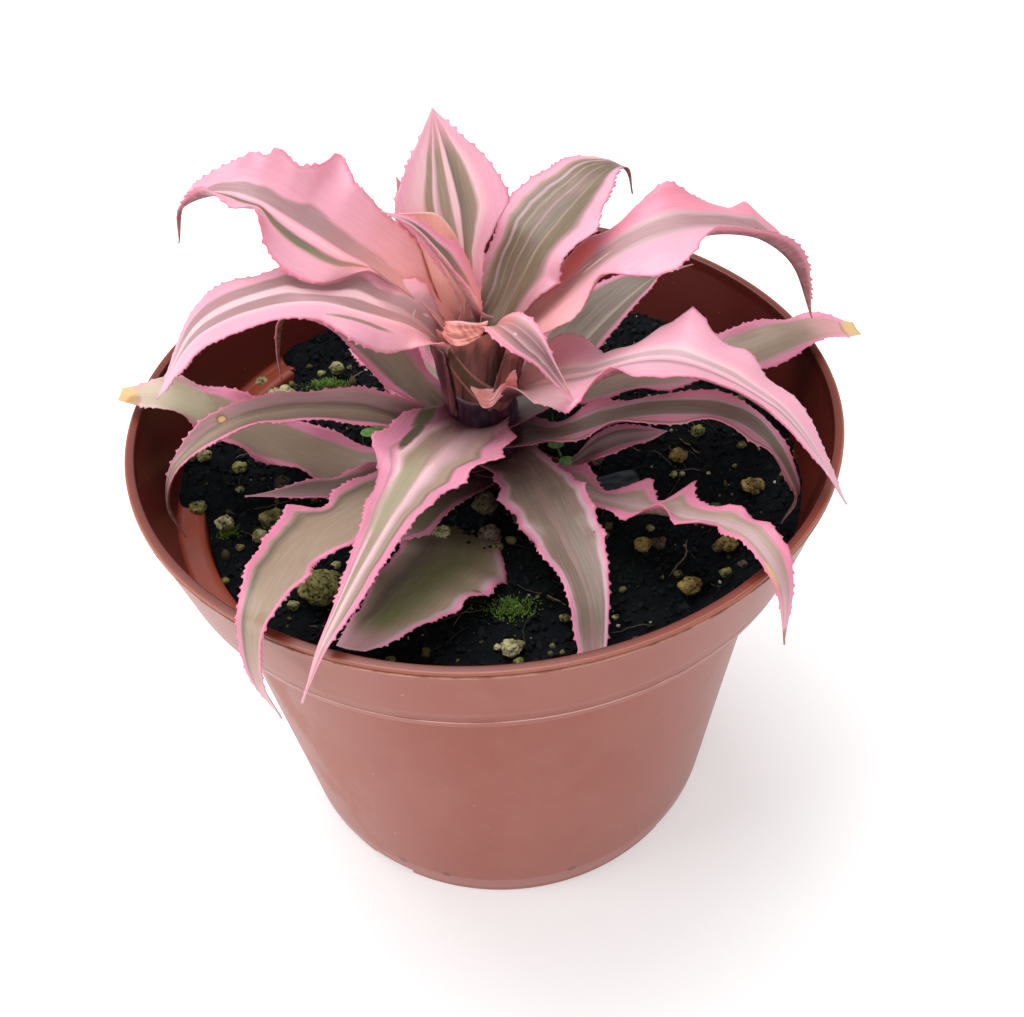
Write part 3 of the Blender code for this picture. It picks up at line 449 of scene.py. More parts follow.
            lobes=((0.1, -1.6), (0.42, -1.8), (0.52, -0.4), (0.6, 0))),
        right=edge(2.5, 3.5, 3.5, 4, 4.5, 5.5, 5.5, 4, 0,
            cusps=((0.5, -0.8, -0.6), (0.62, 0.9, 0.8), (0.78, -0.7)),
            lobes=((0.1, -1.6), (0.4, -2), (0.54, 0))),
        stripes={0.7: "pink", 0.55: "olive", 0.1: "lilac", -0.5: "olive", -0.62: "pink"}),
    "leaf_short_left": dict(
        azimuth=200,
        midrib=((6, 0, 90.5), (26, 0, 91.5), (42, 0, 96), (50, 0, 98.5)),
        left=edge(2, 4, 5, 5, 4.5, 3.5, 2.5, 1, 0),
        right=edge(2.5, 4, 5, 5, 4.5, 3.5, 2.5, 1, 0),
        stripes={0.9: "pink", 0.76: "mauve", -0.7: "olive", -0.9: "pink"}),
    "leaf_young_front": dict(
        azimuth=-117,
        midrib=((6.2, 0, 88.7), (16, -1, 91), (22, -1.8, 92), (27, -4.2, 91.2), (29, -7, 90.4)),
        left=edge(2, 2.5, 3, 3.5, 3.5, 3.5, 3, 2, 1,
            lobes=(
                (0.42, -0.1), (0.47, -0.75), (0.62, -0.9), (0.72, 0.65, 0.6), (0.79, 1.1), (0.86, 0))),
        right=edge(2, 2.5, 3, 3.5, 3.5, 3.5, 3, 2, 1,
            cusps=((0.55, 0.8), (0.75, -0.8))),
        stripes={0.7: "pink", 0.55: "olive", -0.6: "moss", -0.72: "pink"}),
    "leaf_low_front": dict(
        azimuth=-113, cup=(-0.06, 0.1),
        midrib=(
            (6, 0, 82.5), (16, 0.4, 84.3), (22, 0.7, 86.1), (29, 1, 88), (43, -1, 91.5), (55, -1, 96.5),
            (64, 0, 101)),
        left=edge(2.5, 6.5, 9.5, 12, 13.5, 11.5, 9, 7, 3,
            cusps=((0.37, 1.6, -2.6), (0.46, 0.6, -0.8), (0.56, -0.9, 1.6), (0.62, 1.2), (0.73, 0.8))),
        right=edge(2.5, 7, 9, 9, 8, 6, 4, 3, 2),
        marks=(((11.6, 31.6), (1, 0.8), "brown", 0.85),),
        stripes={
            0.94: "pink", 0.89: "lilac", 0.8: "tan", 0.3: "moss", -0.4: "dark", -0.82: "tan",
            -0.9: "pink"}),
    "leaf_low_left": dict(
        azimuth=177, cup=(0.2, 0.2),
        midrib=((6, 0, 86.6), (26, 0, 86.8), (36, 0, 90), (54, 0, 102), (63, 0, 108), (72, 0, 109)),
        left=edge(2.5, 5, 7, 9, 6, 8, 6, 5, 2),
        right=edge(2.5, 5, 7, 8, 8.5, 8.5, 8, 5, 2),
        marks=(
            ((0, 64), (7, 9), "cream", 0.6), ((1.5, 73), (5, 2.6), "straw", 0.95),
            ((2.4, 71), (2.6, 1.6), "brown", 0.5)),
        stripes={0.8: "pink", 0.7: "tan", 0: "tan", -0.66: "tan", -0.76: "pink"}),
    "leaf_hidden_back_right": dict(
        azimuth=82,
        midrib=((6, 0, 90.2), (20, 0, 98), (36, 0, 102), (50, 0, 98)),
        left=edge(2.5, 4.5, 6.5, 8, 8, 7, 5, 2.5, 0),
        right=edge(2.5, 5, 7, 8, 8, 7, 5, 2.5, 0),
        stripes={0.8: "pink", 0.7: "tan", 0: "olive", -0.7: "tan", -0.8: "pink"}),
    "leaf_hidden_back_left": dict(
        azimuth=134,
        midrib=((6.2, 0, 92.2), (18, 0, 98.5), (30, 0, 101), (42, 0, 98)),
        left=edge(2.5, 5, 6, 7, 7, 6, 4.5, 2.5, 0),
        right=edge(2.5, 4, 5.5, 7, 7, 6, 4.5, 2.5, 0),
        stripes={0.8: "pink", 0.7: "tan", 0: "olive", -0.7: "tan", -0.8: "pink"}),
    "leaf_hidden_back": dict(
        azimuth=106,
        midrib=((6, 0, 87.3), (20, 0, 91), (36, 0, 95), (54, 0, 97)),
        left=edge(2.5, 5, 7, 8, 8, 7, 5, 2.5, 0),
        right=edge(2.5, 5, 7, 8, 8, 7, 5, 2.5, 0),
        stripes={0.8: "pink", 0.7: "olive", 0: "tan", -0.7: "olive", -0.8: "pink"}),
}

# Loose pieces on the soil, as in the solids: place (x, y), size in mm and material
STONES = {
    "pumice_front_left": ((-33.4, -33.0), (8.0, 7.0, 5.6), "olive_pumice"),
    "pumice_left": ((-54.0, -12.0), (4.0, 3.4, 3.0), "pale_pumice"),
    "pumice_left_inner": ((-46.5, -16.0), (3.2, 3.0, 2.4), "pale_pumice"),
    "pumice_back_left": ((-46.0, 28.5), (6.4, 5.2, 4.2), "pale_pumice"),
    "pumice_back": ((-34.0, 38.5), (3.6, 3.2, 2.8), "pale_pumice"),
    "pumice_front": ((2.0, -49.5), (4.2, 3.4, 2.8), "pale_pumice"),
    "pumice_right_back": ((38.0, 38.0), (4.0, 3.6, 3.0), "yellow_pumice"),
    "pumice_right_inner": ((40.4, -0.5), (3.8, 3.2, 2.6), "yellow_pumice"),
    "pumice_right": ((54.0, -11.5), (4.6, 3.8, 3.2), "yellow_pumice"),
    "pumice_right_front": ((45.3, -27.5), (4.0, 3.4, 2.8), "yellow_pumice"),
    "pumice_low_right": ((36.0, -38.0), (4.4, 3.6, 2.8), "yellow_pumice"),
    "stone_brown": ((5.4, -16.0), (2.8, 2.4, 2.0), "brown_stone"),
}
# place and height in mm, turn in degrees, spread in mm
SEEDLINGS = {
    "seedling_right": ((15.7, 1.0), 3.0, -72, 3.0),
    "seedling_left": ((-24.2, 12.4), 3.2, 20, 1.3),
}
CHIP_SIZE = (10.0, 6.0, 1.8)
CHIP_TURN = 12                      # degrees
# Colours of the pits, the mid tone and the high spots: painted shade in the hollows, then the shaded and
# the lit tone of the grain, painted shade and painted light
PUMICE_COLOURS = {
    "pale_pumice": ((0.045, 0.040, 0.012), (0.20, 0.17, 0.06), (0.60, 0.55, 0.30)),
    "olive_pumice": ((0.020, 0.022, 0.006), (0.11, 0.105, 0.025), (0.40, 0.36, 0.12)),
    "yellow_pumice": ((0.05, 0.032, 0.010), (0.19, 0.125, 0.030), (0.48, 0.34, 0.11)),
    "brown_stone": ((0.022, 0.015, 0.010), (0.075, 0.052, 0.036), (0.21, 0.16, 0.11)),
}
# x, y, half length and half width in mm
MOSS_TUFTS = (
    (2.3, -38.5, 6.5, 3.2), (-36.0, 34.5, 6.0, 2.6), (-44.0, -11.5, 3.2, 2.4),
    (-53.5, -12.5, 2.2, 1.6))
# Loose grains that the solids leave out: x, y, size in mm, by kind
LOOSE_GRAINS = {
    "pale_pumice": (
        (-51.9, 36.0, 4.7), (-60.3, 6.8, 3.2), (-58.0, 13.3, 1.8), (-52.6, 0.1, 1.8), (-37.8, 38.7, 2.1),
        (38.7, -5.5, 1.8), (40.4, -5.3, 1.3), (52.2, -2.8, 1.1), (46.0, -5.3, 0.9), (31.5, -20.3, 1.7),
        (21.5, -42.6, 1.2), (32.6, -9.5, 2.1), (23.7, -9.2, 1.2), (-10.3, -18.4, 4.0), (-0.5, -48.4, 1.6),
        (-38.6, -34.6, 2.4), (-31.1, -24.3, 1.9), (-25.0, 32.2, 1.4), (8.0, 47.0, 2.4), (29.0, 44.0, 3.0)),
    "olive_pumice": (
        (-63.0, 7.4, 3.3), (-53.7, 7.2, 3.2), (-60.0, -6.8, 3.4), (-44.4, -10.8, 5.0), (-50.5, -18.0, 1.8),
        (-52.4, -26.5, 1.6), (46.4, 8.9, 3.2), (54.7, 2.6, 2.0), (43.9, -26.4, 2.4), (34.8, -33.5, 1.8),
        (43.7, -34.4, 2.4), (12.2, -42.2, 1.9), (0.9, -22.9, 2.4), (3.0, -51.9, 1.9), (-31.3, -27.5, 2.7),
        (-12.0, 46.0, 3.0), (18.0, 51.0, 2.2), (-20.0, -49.0, 2.0)),
    "yellow_pumice": ((29.2, -25.4, 3.5), (46.0, 26.0, 3.0), (-4.0, 52.0, 2.6)),
    "brown_stone": (
        (-43.6, 0.4, 3.4), (60.0, -11.4, 2.0), (32.5, -24.7, 3.1), (46.8, -34.2, 1.8), (23.0, 0.6, 3.2),
        (-1.0, -11.5, 5.4), (-0.7, -19.9, 4.6), (26.0, 30.0, 3.4)),
}
# Leaf bases that wrap the stem below the heart of the plant, each a bent strip between a lower
# and an upper edge; the points of an edge are (azimuth in degrees, height in mm, radius in mm).
# dark and light are the colours of its fibres, and top is that of its upper end. A band is a
# streak: its share of the way round at the lower and the upper edge, half width and colour.
WRAPS = {
    "neck_wrap": dict(
        lower=((-200, 90, 6.9), (-140, 89, 7.0), (-80, 89, 7.0), (-20, 90, 6.9), (40, 92, 6.5),
               (100, 92, 6.5), (150, 92, 6.6)),
        upper=((-196, 112, 7.0), (-140, 109.5, 6.9), (-80, 109, 6.7), (-20, 110, 6.8), (40, 111, 6.5),
               (100, 112, 6.5), (150, 113, 6.6)),
        dark=(0.012, 0.004, 0.010), light=(0.085, 0.022, 0.045)),
    "left_wrap": dict(
        lower=((-215, 103, 7.2), (-185, 103, 7.3), (-160, 103.5, 7.3), (-138, 104.5, 7.2)),
        upper=((-215, 119, 9.6), (-185, 120.5, 9.8), (-160, 121.5, 9.4), (-146, 120, 8.4)),
        dark=(0.060, 0.014, 0.020), light=(0.34, 0.11, 0.13)),
    "heart_wrap": dict(
        lower=((-165, 103, 5.9), (-130, 102, 6.1), (-95, 102, 6.2), (-60, 103, 6.1), (-20, 104, 6.0),
               (30, 105, 5.9)),
        upper=((-165, 123.5, 8.2), (-130, 124.6, 7.9), (-95, 125.0, 7.9), (-60, 125.4, 7.7),
               (-20, 121.5, 7.9), (30, 118, 8.0)),
        dark=(0.032, 0.013, 0.010), light=(0.18, 0.060, 0.048), top=(0.50, 0.16, 0.12),
        bands=((0.66, 0.08, 0.05, (0.070, 0.050, 0.020)), (0.75, 0.15, 0.014, (0.34, 0.14, 0.11)),
               (0.54, -0.04, 0.016, (0.34, 0.14, 0.11)))),
    "heart_fold": dict(
        lower=((-84, 107, 6.7), (-60, 106, 6.8), (-36, 107, 6.9), (-8, 108, 7.0)),
        upper=((-56, 121.5, 8.9), (-44, 120.5, 9.0), (-28, 118.5, 9.0), (-2, 116, 8.8)),
        dark=(0.075, 0.020, 0.020), light=(0.30, 0.105, 0.090), top=(0.45, 0.16, 0.13)),
    "heart_ruffle": dict(
        lower=((-142, 124.0, 8.5), (-124, 123.4, 8.7), (-106, 124.0, 8.7), (-88, 125.4, 8.2)),
        upper=((-148, 126.4, 6.8), (-124, 127.2, 6.8), (-104, 127.2, 6.6), (-72, 127.0, 6.2)),
        dark=(0.55, 0.15, 0.11), light=(0.95, 0.38, 0.33), top=(0.95, 0.42, 0.42), blotches=0.35),
    "heart_back_lobe": dict(
        lower=((136, 138.1, 16.9), (134.5, 136.6, 15.7), (135.6, 131.7, 12.7), (140, 126.4, 9.9),
               (140, 122, 7.5), (120, 120, 5.8)),
        upper=((145.5, 141.7, 15.9), (139.6, 142.1, 12.3), (128.7, 141.8, 9.6), (117.2, 139.0, 8.1),
               (105.2, 135.0, 7.25), (96.7, 131.5, 6.0)),
        dark=(0.93, 0.40, 0.33), light=(0.95, 0.48, 0.41), blotches=0.08),
    "clasp_wrap": dict(
        lower=((-108, 112.8, 7.3), (-100, 110.9, 7.4), (-92, 108.6, 7.5), (-78, 108.7, 7.7),
               (-64, 110.4, 8.0), (-54, 110.8, 8.3), (-40, 110.6, 8.9)),
        upper=((-108, 113.4, 7.2), (-97, 113.1, 7.2), (-84, 112.8, 7.2), (-72, 112.6, 7.3),
               (-65, 115.6, 7.4), (-54, 115.8, 7.8), (-40, 115.4, 8.6)),
        dark=(0.88, 0.29, 0.26), light=(0.95, 0.47, 0.46), blotches=0.15),
}


# ---------------------------------------------------------------- meshes

def new_object(name, data):
    made = bpy.data.objects.new(name, data)
    bpy.context.scene.collection.objects.link(made)
    return made


def piece_from(name, points, faces, material, smooth=True, **attributes):
    """A mesh object. An attribute holds three numbers for each point, for its material to read."""
    mesh = bpy.data.meshes.new(name)
    mesh.from_pydata([tuple(p) for p in points], [], faces)
    mesh.validate()
    if smooth:
        mesh.shade_smooth()
    mesh.materials.append(material)
    for key, values in attributes.items():
        stored = mesh.attributes.new(key, "FLOAT_VECTOR", "POINT")
        stored.data.foreach_set("vector", np.asarray(values, np.float32).reshape(-1))
    return new_object(name, mesh)


def settle(piece, *nodes):
    """The piece moves with the pot, and stands for these solids."""
    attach(piece, "root")
    if nodes:
        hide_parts(*nodes)


class Heap:
    """Many small closed shapes that become one piece. A shape may have a tint of its own."""

    def __init__(self):
        self.points, self.faces, self.tints = [], [], []

    def add(self, points, faces, tint=None):
        first = len(self.points)
        self.points += list(points)
        self.faces += [tuple(first + i for i in face) for face in faces]
        if tint is not None:
            self.tints += [(tint, 0, 0)] * len(points)

    def settle(self, name, material, *nodes, smooth=True):
        tints = {"tint": self.tints} if self.tints else {}
        settle(piece_from(name, self.points, self.faces, material, smooth, **tints), *nodes)


def grid_faces(rows, columns, first=0, flip=False, wrap=False):
    faces = []
    for i in range(rows - 1):
        for j in range(columns if wrap else columns - 1):
            a = first + i * columns + j
            b = first + i * columns + (j + 1) % columns
            quad = (a, b, b + columns, a + columns)
            faces.append(quad[::-1] if flip else quad)
    return faces


def turned_faces(rings, steps):
    """Faces of rings round the axis that lie between a first and a last point on it."""
    faces = grid_faces(rings, steps, first=1, flip=True, wrap=True)
    last = rings * steps + 1
    for j in range(steps):
        k = (j + 1) % steps
        faces.append((0, 1 + j, 1 + k))
        faces.append((last, last - steps + k, last - steps + j))
    return faces


def sheet_faces(rows, columns):
    """Faces of a thin sheet: a grid of points, the same grid again behind it, and the edge."""
    total = rows * columns
    faces = grid_faces(rows, columns) + grid_faces(rows, columns, first=total, flip=True)
    for i in range(rows - 1):
        a = i * columns
        b = a + columns - 1
        faces.append((a, a + columns, a + columns + total, a + total))
        faces.append((b, b + total, b + columns + total, b + columns))
    for j in range(columns - 1):
        end = (rows - 1) * columns + j
        faces.append((j, j + total, j + 1 + total, j + 1))
        faces.append((end, end + 1, end + 1 + total, end + total))
    return faces


def circle(radius, height, steps):
    turn = np.linspace(0, 2 * math.pi, steps, endpoint=False)
    return [(radius * math.cos(a), radius * math.sin(a), height) for a in turn]


def lathe(profile, steps):
    """Points and faces of a solid turned from (radius, height) rows; both ends are on the axis."""
    points = [(0, 0, profile[0][1])]
    for radius, height in profile[1:-1]:
        points += circle(radius, height, steps)
    points.append((0, 0, profile[-1][1]))
    return points, turned_faces(len(profile) - 2, steps)


def rounded(corners):
    """A profile whose corners (radius, height, bend) are arcs of the given bend."""
    out = []
    for i, (radius, height, bend) in enumerate(corners):
        here = Vector((radius, height))
        if bend == 0 or i in (0, len(corners) - 1):
            out.append(tuple(here))
            continue
        back = Vector(corners[i - 1][:2]) - here
        ahead = Vector(corners[i + 1][:2]) - here
        reach = min(bend, 0.48 * back.length, 0.48 * ahead.length)
        start = here + back.normalized() * reach
        end = here + ahead.normalized() * reach
        for t in np.linspace(0, 1, 6):
            out.append(tuple(start * (1 - t) ** 2 + here * 2 * t * (1 - t) + end * t**2))
    return out


def refined(profile, longest):
    """Adds points so that no step of the profile is longer than `longest`."""
    out = [profile[0]]
    for start, end in zip(profile, profile[1:]):
        steps = max(1, math.ceil(math.dist(start, end) / longest))
        for k in range(1, steps + 1):
            out.append(tuple(a + (b - a) * k / steps for a, b in zip(start, end)))
    return out


def ball(subdivisions):
    """Points and faces of a round ball of radius 1."""
    shape = bmesh.new()
    bmesh.ops.create_icosphere(shape, subdivisions=subdivisions, radius=1)
    points = [vertex.co.copy() for vertex in shape.verts]
    faces = [tuple(v.index for v in face.verts) for face in shape.faces]
    shape.free()
    return points, faces


def tube(path, radius, sides=5):
    """Points and faces of a thin closed tube along a path."""
    points = []
    path = [Vector(p) for p in path]
    last = len(path) - 1
    for i, here in enumerate(path):
        ahead = path[min(i + 1, last)] - path[max(i - 1, 0)]
        side = ahead.orthogonal().normalized()
        up = ahead.cross(side).normalized()
        taper = radius * (1 if 0 < i < last else 0.4)
        for k in range(sides):
            a = 2 * math.pi * k / sides
            points.append(here + (side * math.cos(a) + up * math.sin(a)) * taper)
    faces = grid_faces(len(path), sides, wrap=True)
    faces.append(tuple(reversed(range(sides))))
    faces.append(tuple(range(last * sides, len(points))))
    return points, faces


def smooth_step(value):
    value = np.clip(value, 0, 1)
    return value * value * (3 - 2 * value)


def smooth(stations, values, at):
    """The values at `at` on a smooth curve through rows of values at the stations."""
    last = len(values) - 1
    before = np.maximum(np.arange(last + 1) - 1, 0)
    after = np.minimum(np.arange(last + 1) + 1, last)
    slope = (values[after] - values[before]) / (stations[after] - stations[before])[:, None]
    i = np.clip(np.searchsorted(stations, at, side="right") - 1, 0, last - 1)
    span = (stations[i + 1] - stations[i])[:, None]
    x = (at - stations[i])[:, None] / span
    return (
        (2 * x**3 - 3 * x**2 + 1) * values[i]
        + (x**3 - 2 * x**2 + x) * span * slope[i]
        + (3 * x**2 - 2 * x**3) * values[i + 1]
        + (x**3 - x**2) * span * slope[i + 1])


def evenly(values, at):
    rows = np.array(values, float)[:, None]
    return smooth(np.linspace(0, 1, len(rows)), rows, at)[:, 0]


def eased(values):
    """The same values with their corners taken off."""
    for _ in range(2):
        padded = np.concatenate([values[:1], values, values[-1:]])
        values = 0.25 * padded[:-2] + 0.5 * padded[1:-1] + 0.25 * padded[2:]
    return values


# ---------------------------------------------------------------- materials

class Wire:
    """A node's output. Sums with wires and numbers make Math nodes."""

    def __init__(self, look, socket):
        self.look = look
        self.socket = socket

    def __add__(self, other):
        return self.look.maths("ADD", self, other)

    def __sub__(self, other):
        return self.look.maths("SUBTRACT", self, other)

    def __mul__(self, other):
        return self.look.maths("MULTIPLY", self, other)

    def __truediv__(self, other):
        return self.look.maths("DIVIDE", self, other)

    def fit(self, low, high, to_low=0.0, to_high=1.0):
        """Runs smoothly from to_low at `low` to to_high at `high`, and stays level outside."""
        inputs = {"Value": self, "From Min": low, "From Max": high, "To Min": to_low, "To Max": to_high}
        return self.look.add("MapRange", inputs, "Result", interpolation_type="SMOOTHSTEP")

    def away(self, middle=0.0):
        return self.look.maths("ABSOLUTE", self - middle)

    def parts(self):
        return [Wire(self.look, output) for output in self.look.node("SeparateXYZ", {0: self}).outputs]


class Look:
    """A Principled material under construction, with short names for common nodes."""

    def __init__(self, name, roughness, **inputs):
        self.material = bpy.data.materials.new(name)
        self.material.use_nodes = True
        self.tree = self.material.node_tree
        self.shader = self.tree.nodes["Principled BSDF"]
        self.set(roughness=roughness, **inputs)
        self.place = self.add("TexCoord", {}, "Object")

    def plug(self, node, inputs):
        """Links a wire to each input, or sets its number or colour."""
        for key, value in inputs.items():
            socket = node.inputs[key]
            if isinstance(value, Wire):
                self.tree.links.new(value.socket, socket)
            elif socket.type == "RGBA":
                socket.default_value = (*value, 1)
            else:
                socket.default_value = value

    def set(self, **inputs):
        """Sets inputs of the shader, such as base_color; specular is Specular IOR Level."""
        names = {"specular": "Specular IOR Level"}
        self.plug(self.shader, {
            names.get(key, key.replace("_", " ").title()): value for key, value in inputs.items()})

    def node(self, kind, inputs, **settings):
        node = self.tree.nodes.new("ShaderNode" + kind)
        for key, value in settings.items():
            setattr(node, key, value)
        self.plug(node, inputs)
        return node

    def add(self, kind, inputs, output=0, **settings):
        return Wire(self, self.node(kind, inputs, **settings).outputs[output])

    def maths(self, operation, *values, clamp=False):
        return self.add("Math", dict(enumerate(values)), operation=operation, use_clamp=clamp)

    def mix(self, share, first, second):
        return self.add("Mix", {"Factor": share, "A": first, "B": second}, "Result", data_type="RGBA")

    def noise(self, scale, detail=3.0, rough=0.5, at=None, stretch=None):
        at = at or self.place
        if stretch:
            at = self.add("Mapping", {"Vector": at, "Scale": stretch})
        inputs = {"Vector": at, "Scale": scale, "Detail": detail, "Roughness": rough}
        return self.add("TexNoise", inputs, "Fac")

    def attribute(self, name):
        return self.add("Attribute", {}, "Vector", attribute_name=name)

    def ramp(self, value, stops):
        """stops: (position, colour) in rising order."""
        node = self.node("ValToRGB", {0: value})
        elements = node.color_ramp.elements
        while len(elements) < len(stops):
            elements.new(0.5)
        for element, (position, colour) in zip(elements, stops):
            element.position = position
            element.color = (*colour, 1)
        return Wire(self, node.outputs["Color"])

    def done(self, colour, bumps, strength, depth):
        """Puts on the colour and a bump of this strength and depth, and returns the material."""
        bump = {"Height": bumps, "Strength": strength, "Distance": depth}
        self.set(base_color=colour, normal=self.add("Bump", bump, "Normal"))
        return self.material


def leaf_material(name, stripes, base, marks, flush):
    """Stripes across the blade, faintly streaked along it, with a base colour near the stem."""
    pink = base == "peach"
    m = Look(name, 0.40, specular=0.45, subsurface_weight=0.30,
             subsurface_radius=(1.0, 0.50, 0.42), subsurface_scale=1.4 * MM)
    across, along, face = m.attribute("blade").parts()
    size = m.attribute("size")
    run = size.parts()[1]
    wander = (m.noise(70, 1, at=size) - 0.5) * 0.07
    streak = (m.noise(2200, 2, at=size, stretch=(1, 0.06, 1)) - 0.5) * 0.035
    stripes = {1: "rose", **stripes, -1: "rose"}
    stops = []
    for place, colour in reversed(stripes.items()):
        if colour == "pink" and not pink:
            colour = "mallow"
        stops.append(((place + 1) / 2, PALETTE[colour]))
    blade = m.ramp((across + wander + streak) * 0.5 + 0.5, stops)
    # towards the tip the bands close up into pink, and they fade in and out a little on the way
    blade = m.mix(along.fit(0.80, 0.98, 0, 0.8 if pink else 0.55), blade, PALETTE["pink"])
    cloud = m.noise(130, 3, at=size, stretch=(1, 0.5, 1))
    blade = m.mix(cloud.fit(0.45, 0.75, 0, 0.15), blade, PALETTE["pink" if pink else "mauve"])
    # the base colour comes in along the lowest part of the blade
    reach = run + (m.noise(150, 2, at=size) - 0.5) * 6 * MM
    if pink:
        start, end, strength, colour = flush
        blade = m.mix(reach.fit(start * MM, end * MM, 0, strength), blade, PALETTE[colour])
        blade = m.mix(reach.fit(8.5 * MM, 3.5 * MM, 0, 0.95), blade, PALETTE["maroon"])
    else:
        blade = m.mix(reach.fit(24 * MM, 7 * MM, 0, 0.92), blade, PALETTE["maroon"])
    fine = m.noise(3200, 3, at=size, stretch=(1, 0.05, 1))
    blade = m.mix(fine.fit(0.42, 0.75, 0, 0.08), blade, (0.85, 0.72, 0.66))
    blade = m.mix(fine.fit(0.55, 0.30, 0, 0.06), blade, (0.16, 0.07, 0.06))
    for (aside, up), (half_width, half_length), colour, strength in marks:
        middle = (aside * MM, up * MM, 0)
        dx, dy, _ = m.add("VectorMath", {0: size, 1: middle}, operation="SUBTRACT").parts()
        dx = m.maths("POWER", dx / (half_width * MM), 2.0)
        dy = m.maths("POWER", dy / (half_length * MM), 2.0)
        far = dx + dy + m.noise(900, 3, at=size) * 0.8
        blade = m.mix(far.fit(1.65, 0.75, 0, strength), blade, PALETTE[colour])
    # the underside is duller: mauve-brown below the pink leaves, olive below the others
    dull = ((0.24, 0.11, 0.10), (0.46, 0.27, 0.25)) if pink else ((0.10, 0.085, 0.030), (0.26, 0.20, 0.11))
    scurf = m.mix(m.noise(900, 2, at=size).fit(0.4, 0.7), *dull)
    under = m.mix(across.away().fit(0.80, 0.95, 0.72, 0.15), blade, scurf)
    under = m.mix(run.fit(16 * MM, 9 * MM, 0, 0.9), under, PALETTE["maroon"])
    grooves = m.noise(1600, 2, at=size, stretch=(1, 0.03, 1))
    return m.done(m.mix(face.fit(0.4, 0.6), under, blade), grooves, 0.25, 0.2 * MM)


def plastic_material():
    """Terracotta-coloured polypropylene: satin, dusty in patches, with fine scratches, and painted shade
    and light on the inside, the ledge, the left side and the rim's edge.
    """
    m = Look("pot_plastic", 0.36, subsurface_weight=0.06,
             subsurface_radius=(1.0, 0.3, 0.2), subsurface_scale=1.5 * MM)
    x, y, z = m.place.parts()
    radius = m.maths("SQRT", x * x + y * y)
    around = m.maths("ARCTAN2", y, x)
    # 1 outside the middle of the wall, 0 inside it
    step = STEP_HEIGHT
    slope = (RIM_RADIUS - COLLAR_FOOT_RADIUS) / (COLLAR_HEIGHT - LIP_HEIGHT)
    wall = (z - step) * slope + (COLLAR_FOOT_RADIUS - 0.5 * WALL)
    outside = (radius - wall).fit(-0.2 * MM, 0.2 * MM)
    outside = m.maths("MAXIMUM", outside, z.fit(step - 0.5 * MM, step - 1.5 * MM))
    body = m.mix(m.noise(18, 4), (0.262, 0.041, 0.016), (0.305, 0.054, 0.023))
    # the inner wall is painted much darker than the outside: painted shade inside the pot
    inside = m.mix(m.noise(30), (0.095, 0.012, 0.009), (0.15, 0.020, 0.014))
    colour = m.mix(outside, inside, body)
    # the rim's top is darker, with a painted highlight along its outer edge
    rim = z.fit(POT_HEIGHT - 0.45 * MM, POT_HEIGHT - 0.25 * MM)
    outer = radius.fit(RIM_RADIUS - 1.25 * MM, RIM_RADIUS - 0.85 * MM, 0.35, 1.0)
    colour = m.mix(rim * outer, colour, (0.20, 0.035, 0.018))
    rim_edge_highlight = rim * radius.fit(RIM_RADIUS - 0.55 * MM, RIM_RADIUS - 0.25 * MM)
    colour = m.mix(rim_edge_highlight, colour, (0.36, 0.10, 0.06))
    # the ledge inside the wall faces up and is painted lighter than the inner wall: painted light
    ledge = z.fit(step + 2.6 * MM, step + 1.9 * MM) * m.maths("SUBTRACT", 1.0, outside)
    colour = m.mix(ledge, colour, (0.34, 0.060, 0.030))
    # flaking pale flash along the groove below the rim
    flash = z.fit(POT_HEIGHT - 1.6 * MM, POT_HEIGHT - 1.4 * MM)
    flash = flash * z.fit(POT_HEIGHT - 0.5 * MM, POT_HEIGHT - 0.7 * MM) * outside
    flaked = flash * m.noise(260, 4).fit(0.35, 0.6, 0.45, 1.0)
    colour = m.mix(flaked, colour, (0.90, 0.50, 0.38))
    # thin pale lines where the collar ends
    for height, half in ((step + LIP_HEIGHT, 0.35 * MM), (step + 0.2 * MM, 0.3 * MM)):
        line = z.away(height).fit(half, 0.3 * half) * m.noise(120).fit(0.35, 0.6, 0.25, 0.85)
        colour = m.mix(line * outside, colour, (0.66, 0.36, 0.30))
    # a paler foot, with small pits where it starts
    colour = m.mix(z.fit(FOOT_LINE, FOOT_LINE - 0.6 * MM, 0, 0.4), colour, (0.40, 0.17, 0.15))
    for turn in PIT_TURNS:
        aside = (around - math.radians(turn)) * BASE_RADIUS
        above = z - FOOT_LINE
        off = m.maths("SQRT", aside * aside + above * above)
        colour = m.mix(off.fit(1.3 * MM, 0.8 * MM, 0, 0.9), colour, (0.13, 0.008, 0.003))
    # pale dusty film, heavier on the collar and towards the left side; its rise to the left is painted
    # sheen, where that side catches more light
    dust_and_sheen = m.noise(45, 6, 0.65, stretch=(1, 1, 0.6)).fit(0.42, 0.72)
    dust_and_sheen = dust_and_sheen * x.fit(20 * MM, -60 * MM, 0.35, 1.0) * outside
    colour = m.mix(dust_and_sheen * 0.42, colour, (0.48, 0.25, 0.21))
    # scratches run mostly round the pot
    round_pot = m.add("CombineXYZ", {0: around * 0.012, 1: z})
    scratches = m.noise(900, 3, 0.7, at=round_pot).fit(0.68, 0.76) * m.noise(35, 2).fit(0.45, 0.65)
    colour = m.mix(scratches * 0.35, colour, (0.72, 0.45, 0.40))
    specks = m.noise(700, 2, 0.6).fit(0.74, 0.78)
    colour = m.mix(specks * 0.5, colour, (0.78, 0.62, 0.56))
    m.set(roughness=dust_and_sheen.fit(0, 1, 0.34, 0.62))
    return m.done(colour, m.noise(420) + scratches * -0.6, 0.10, 0.3 * MM)


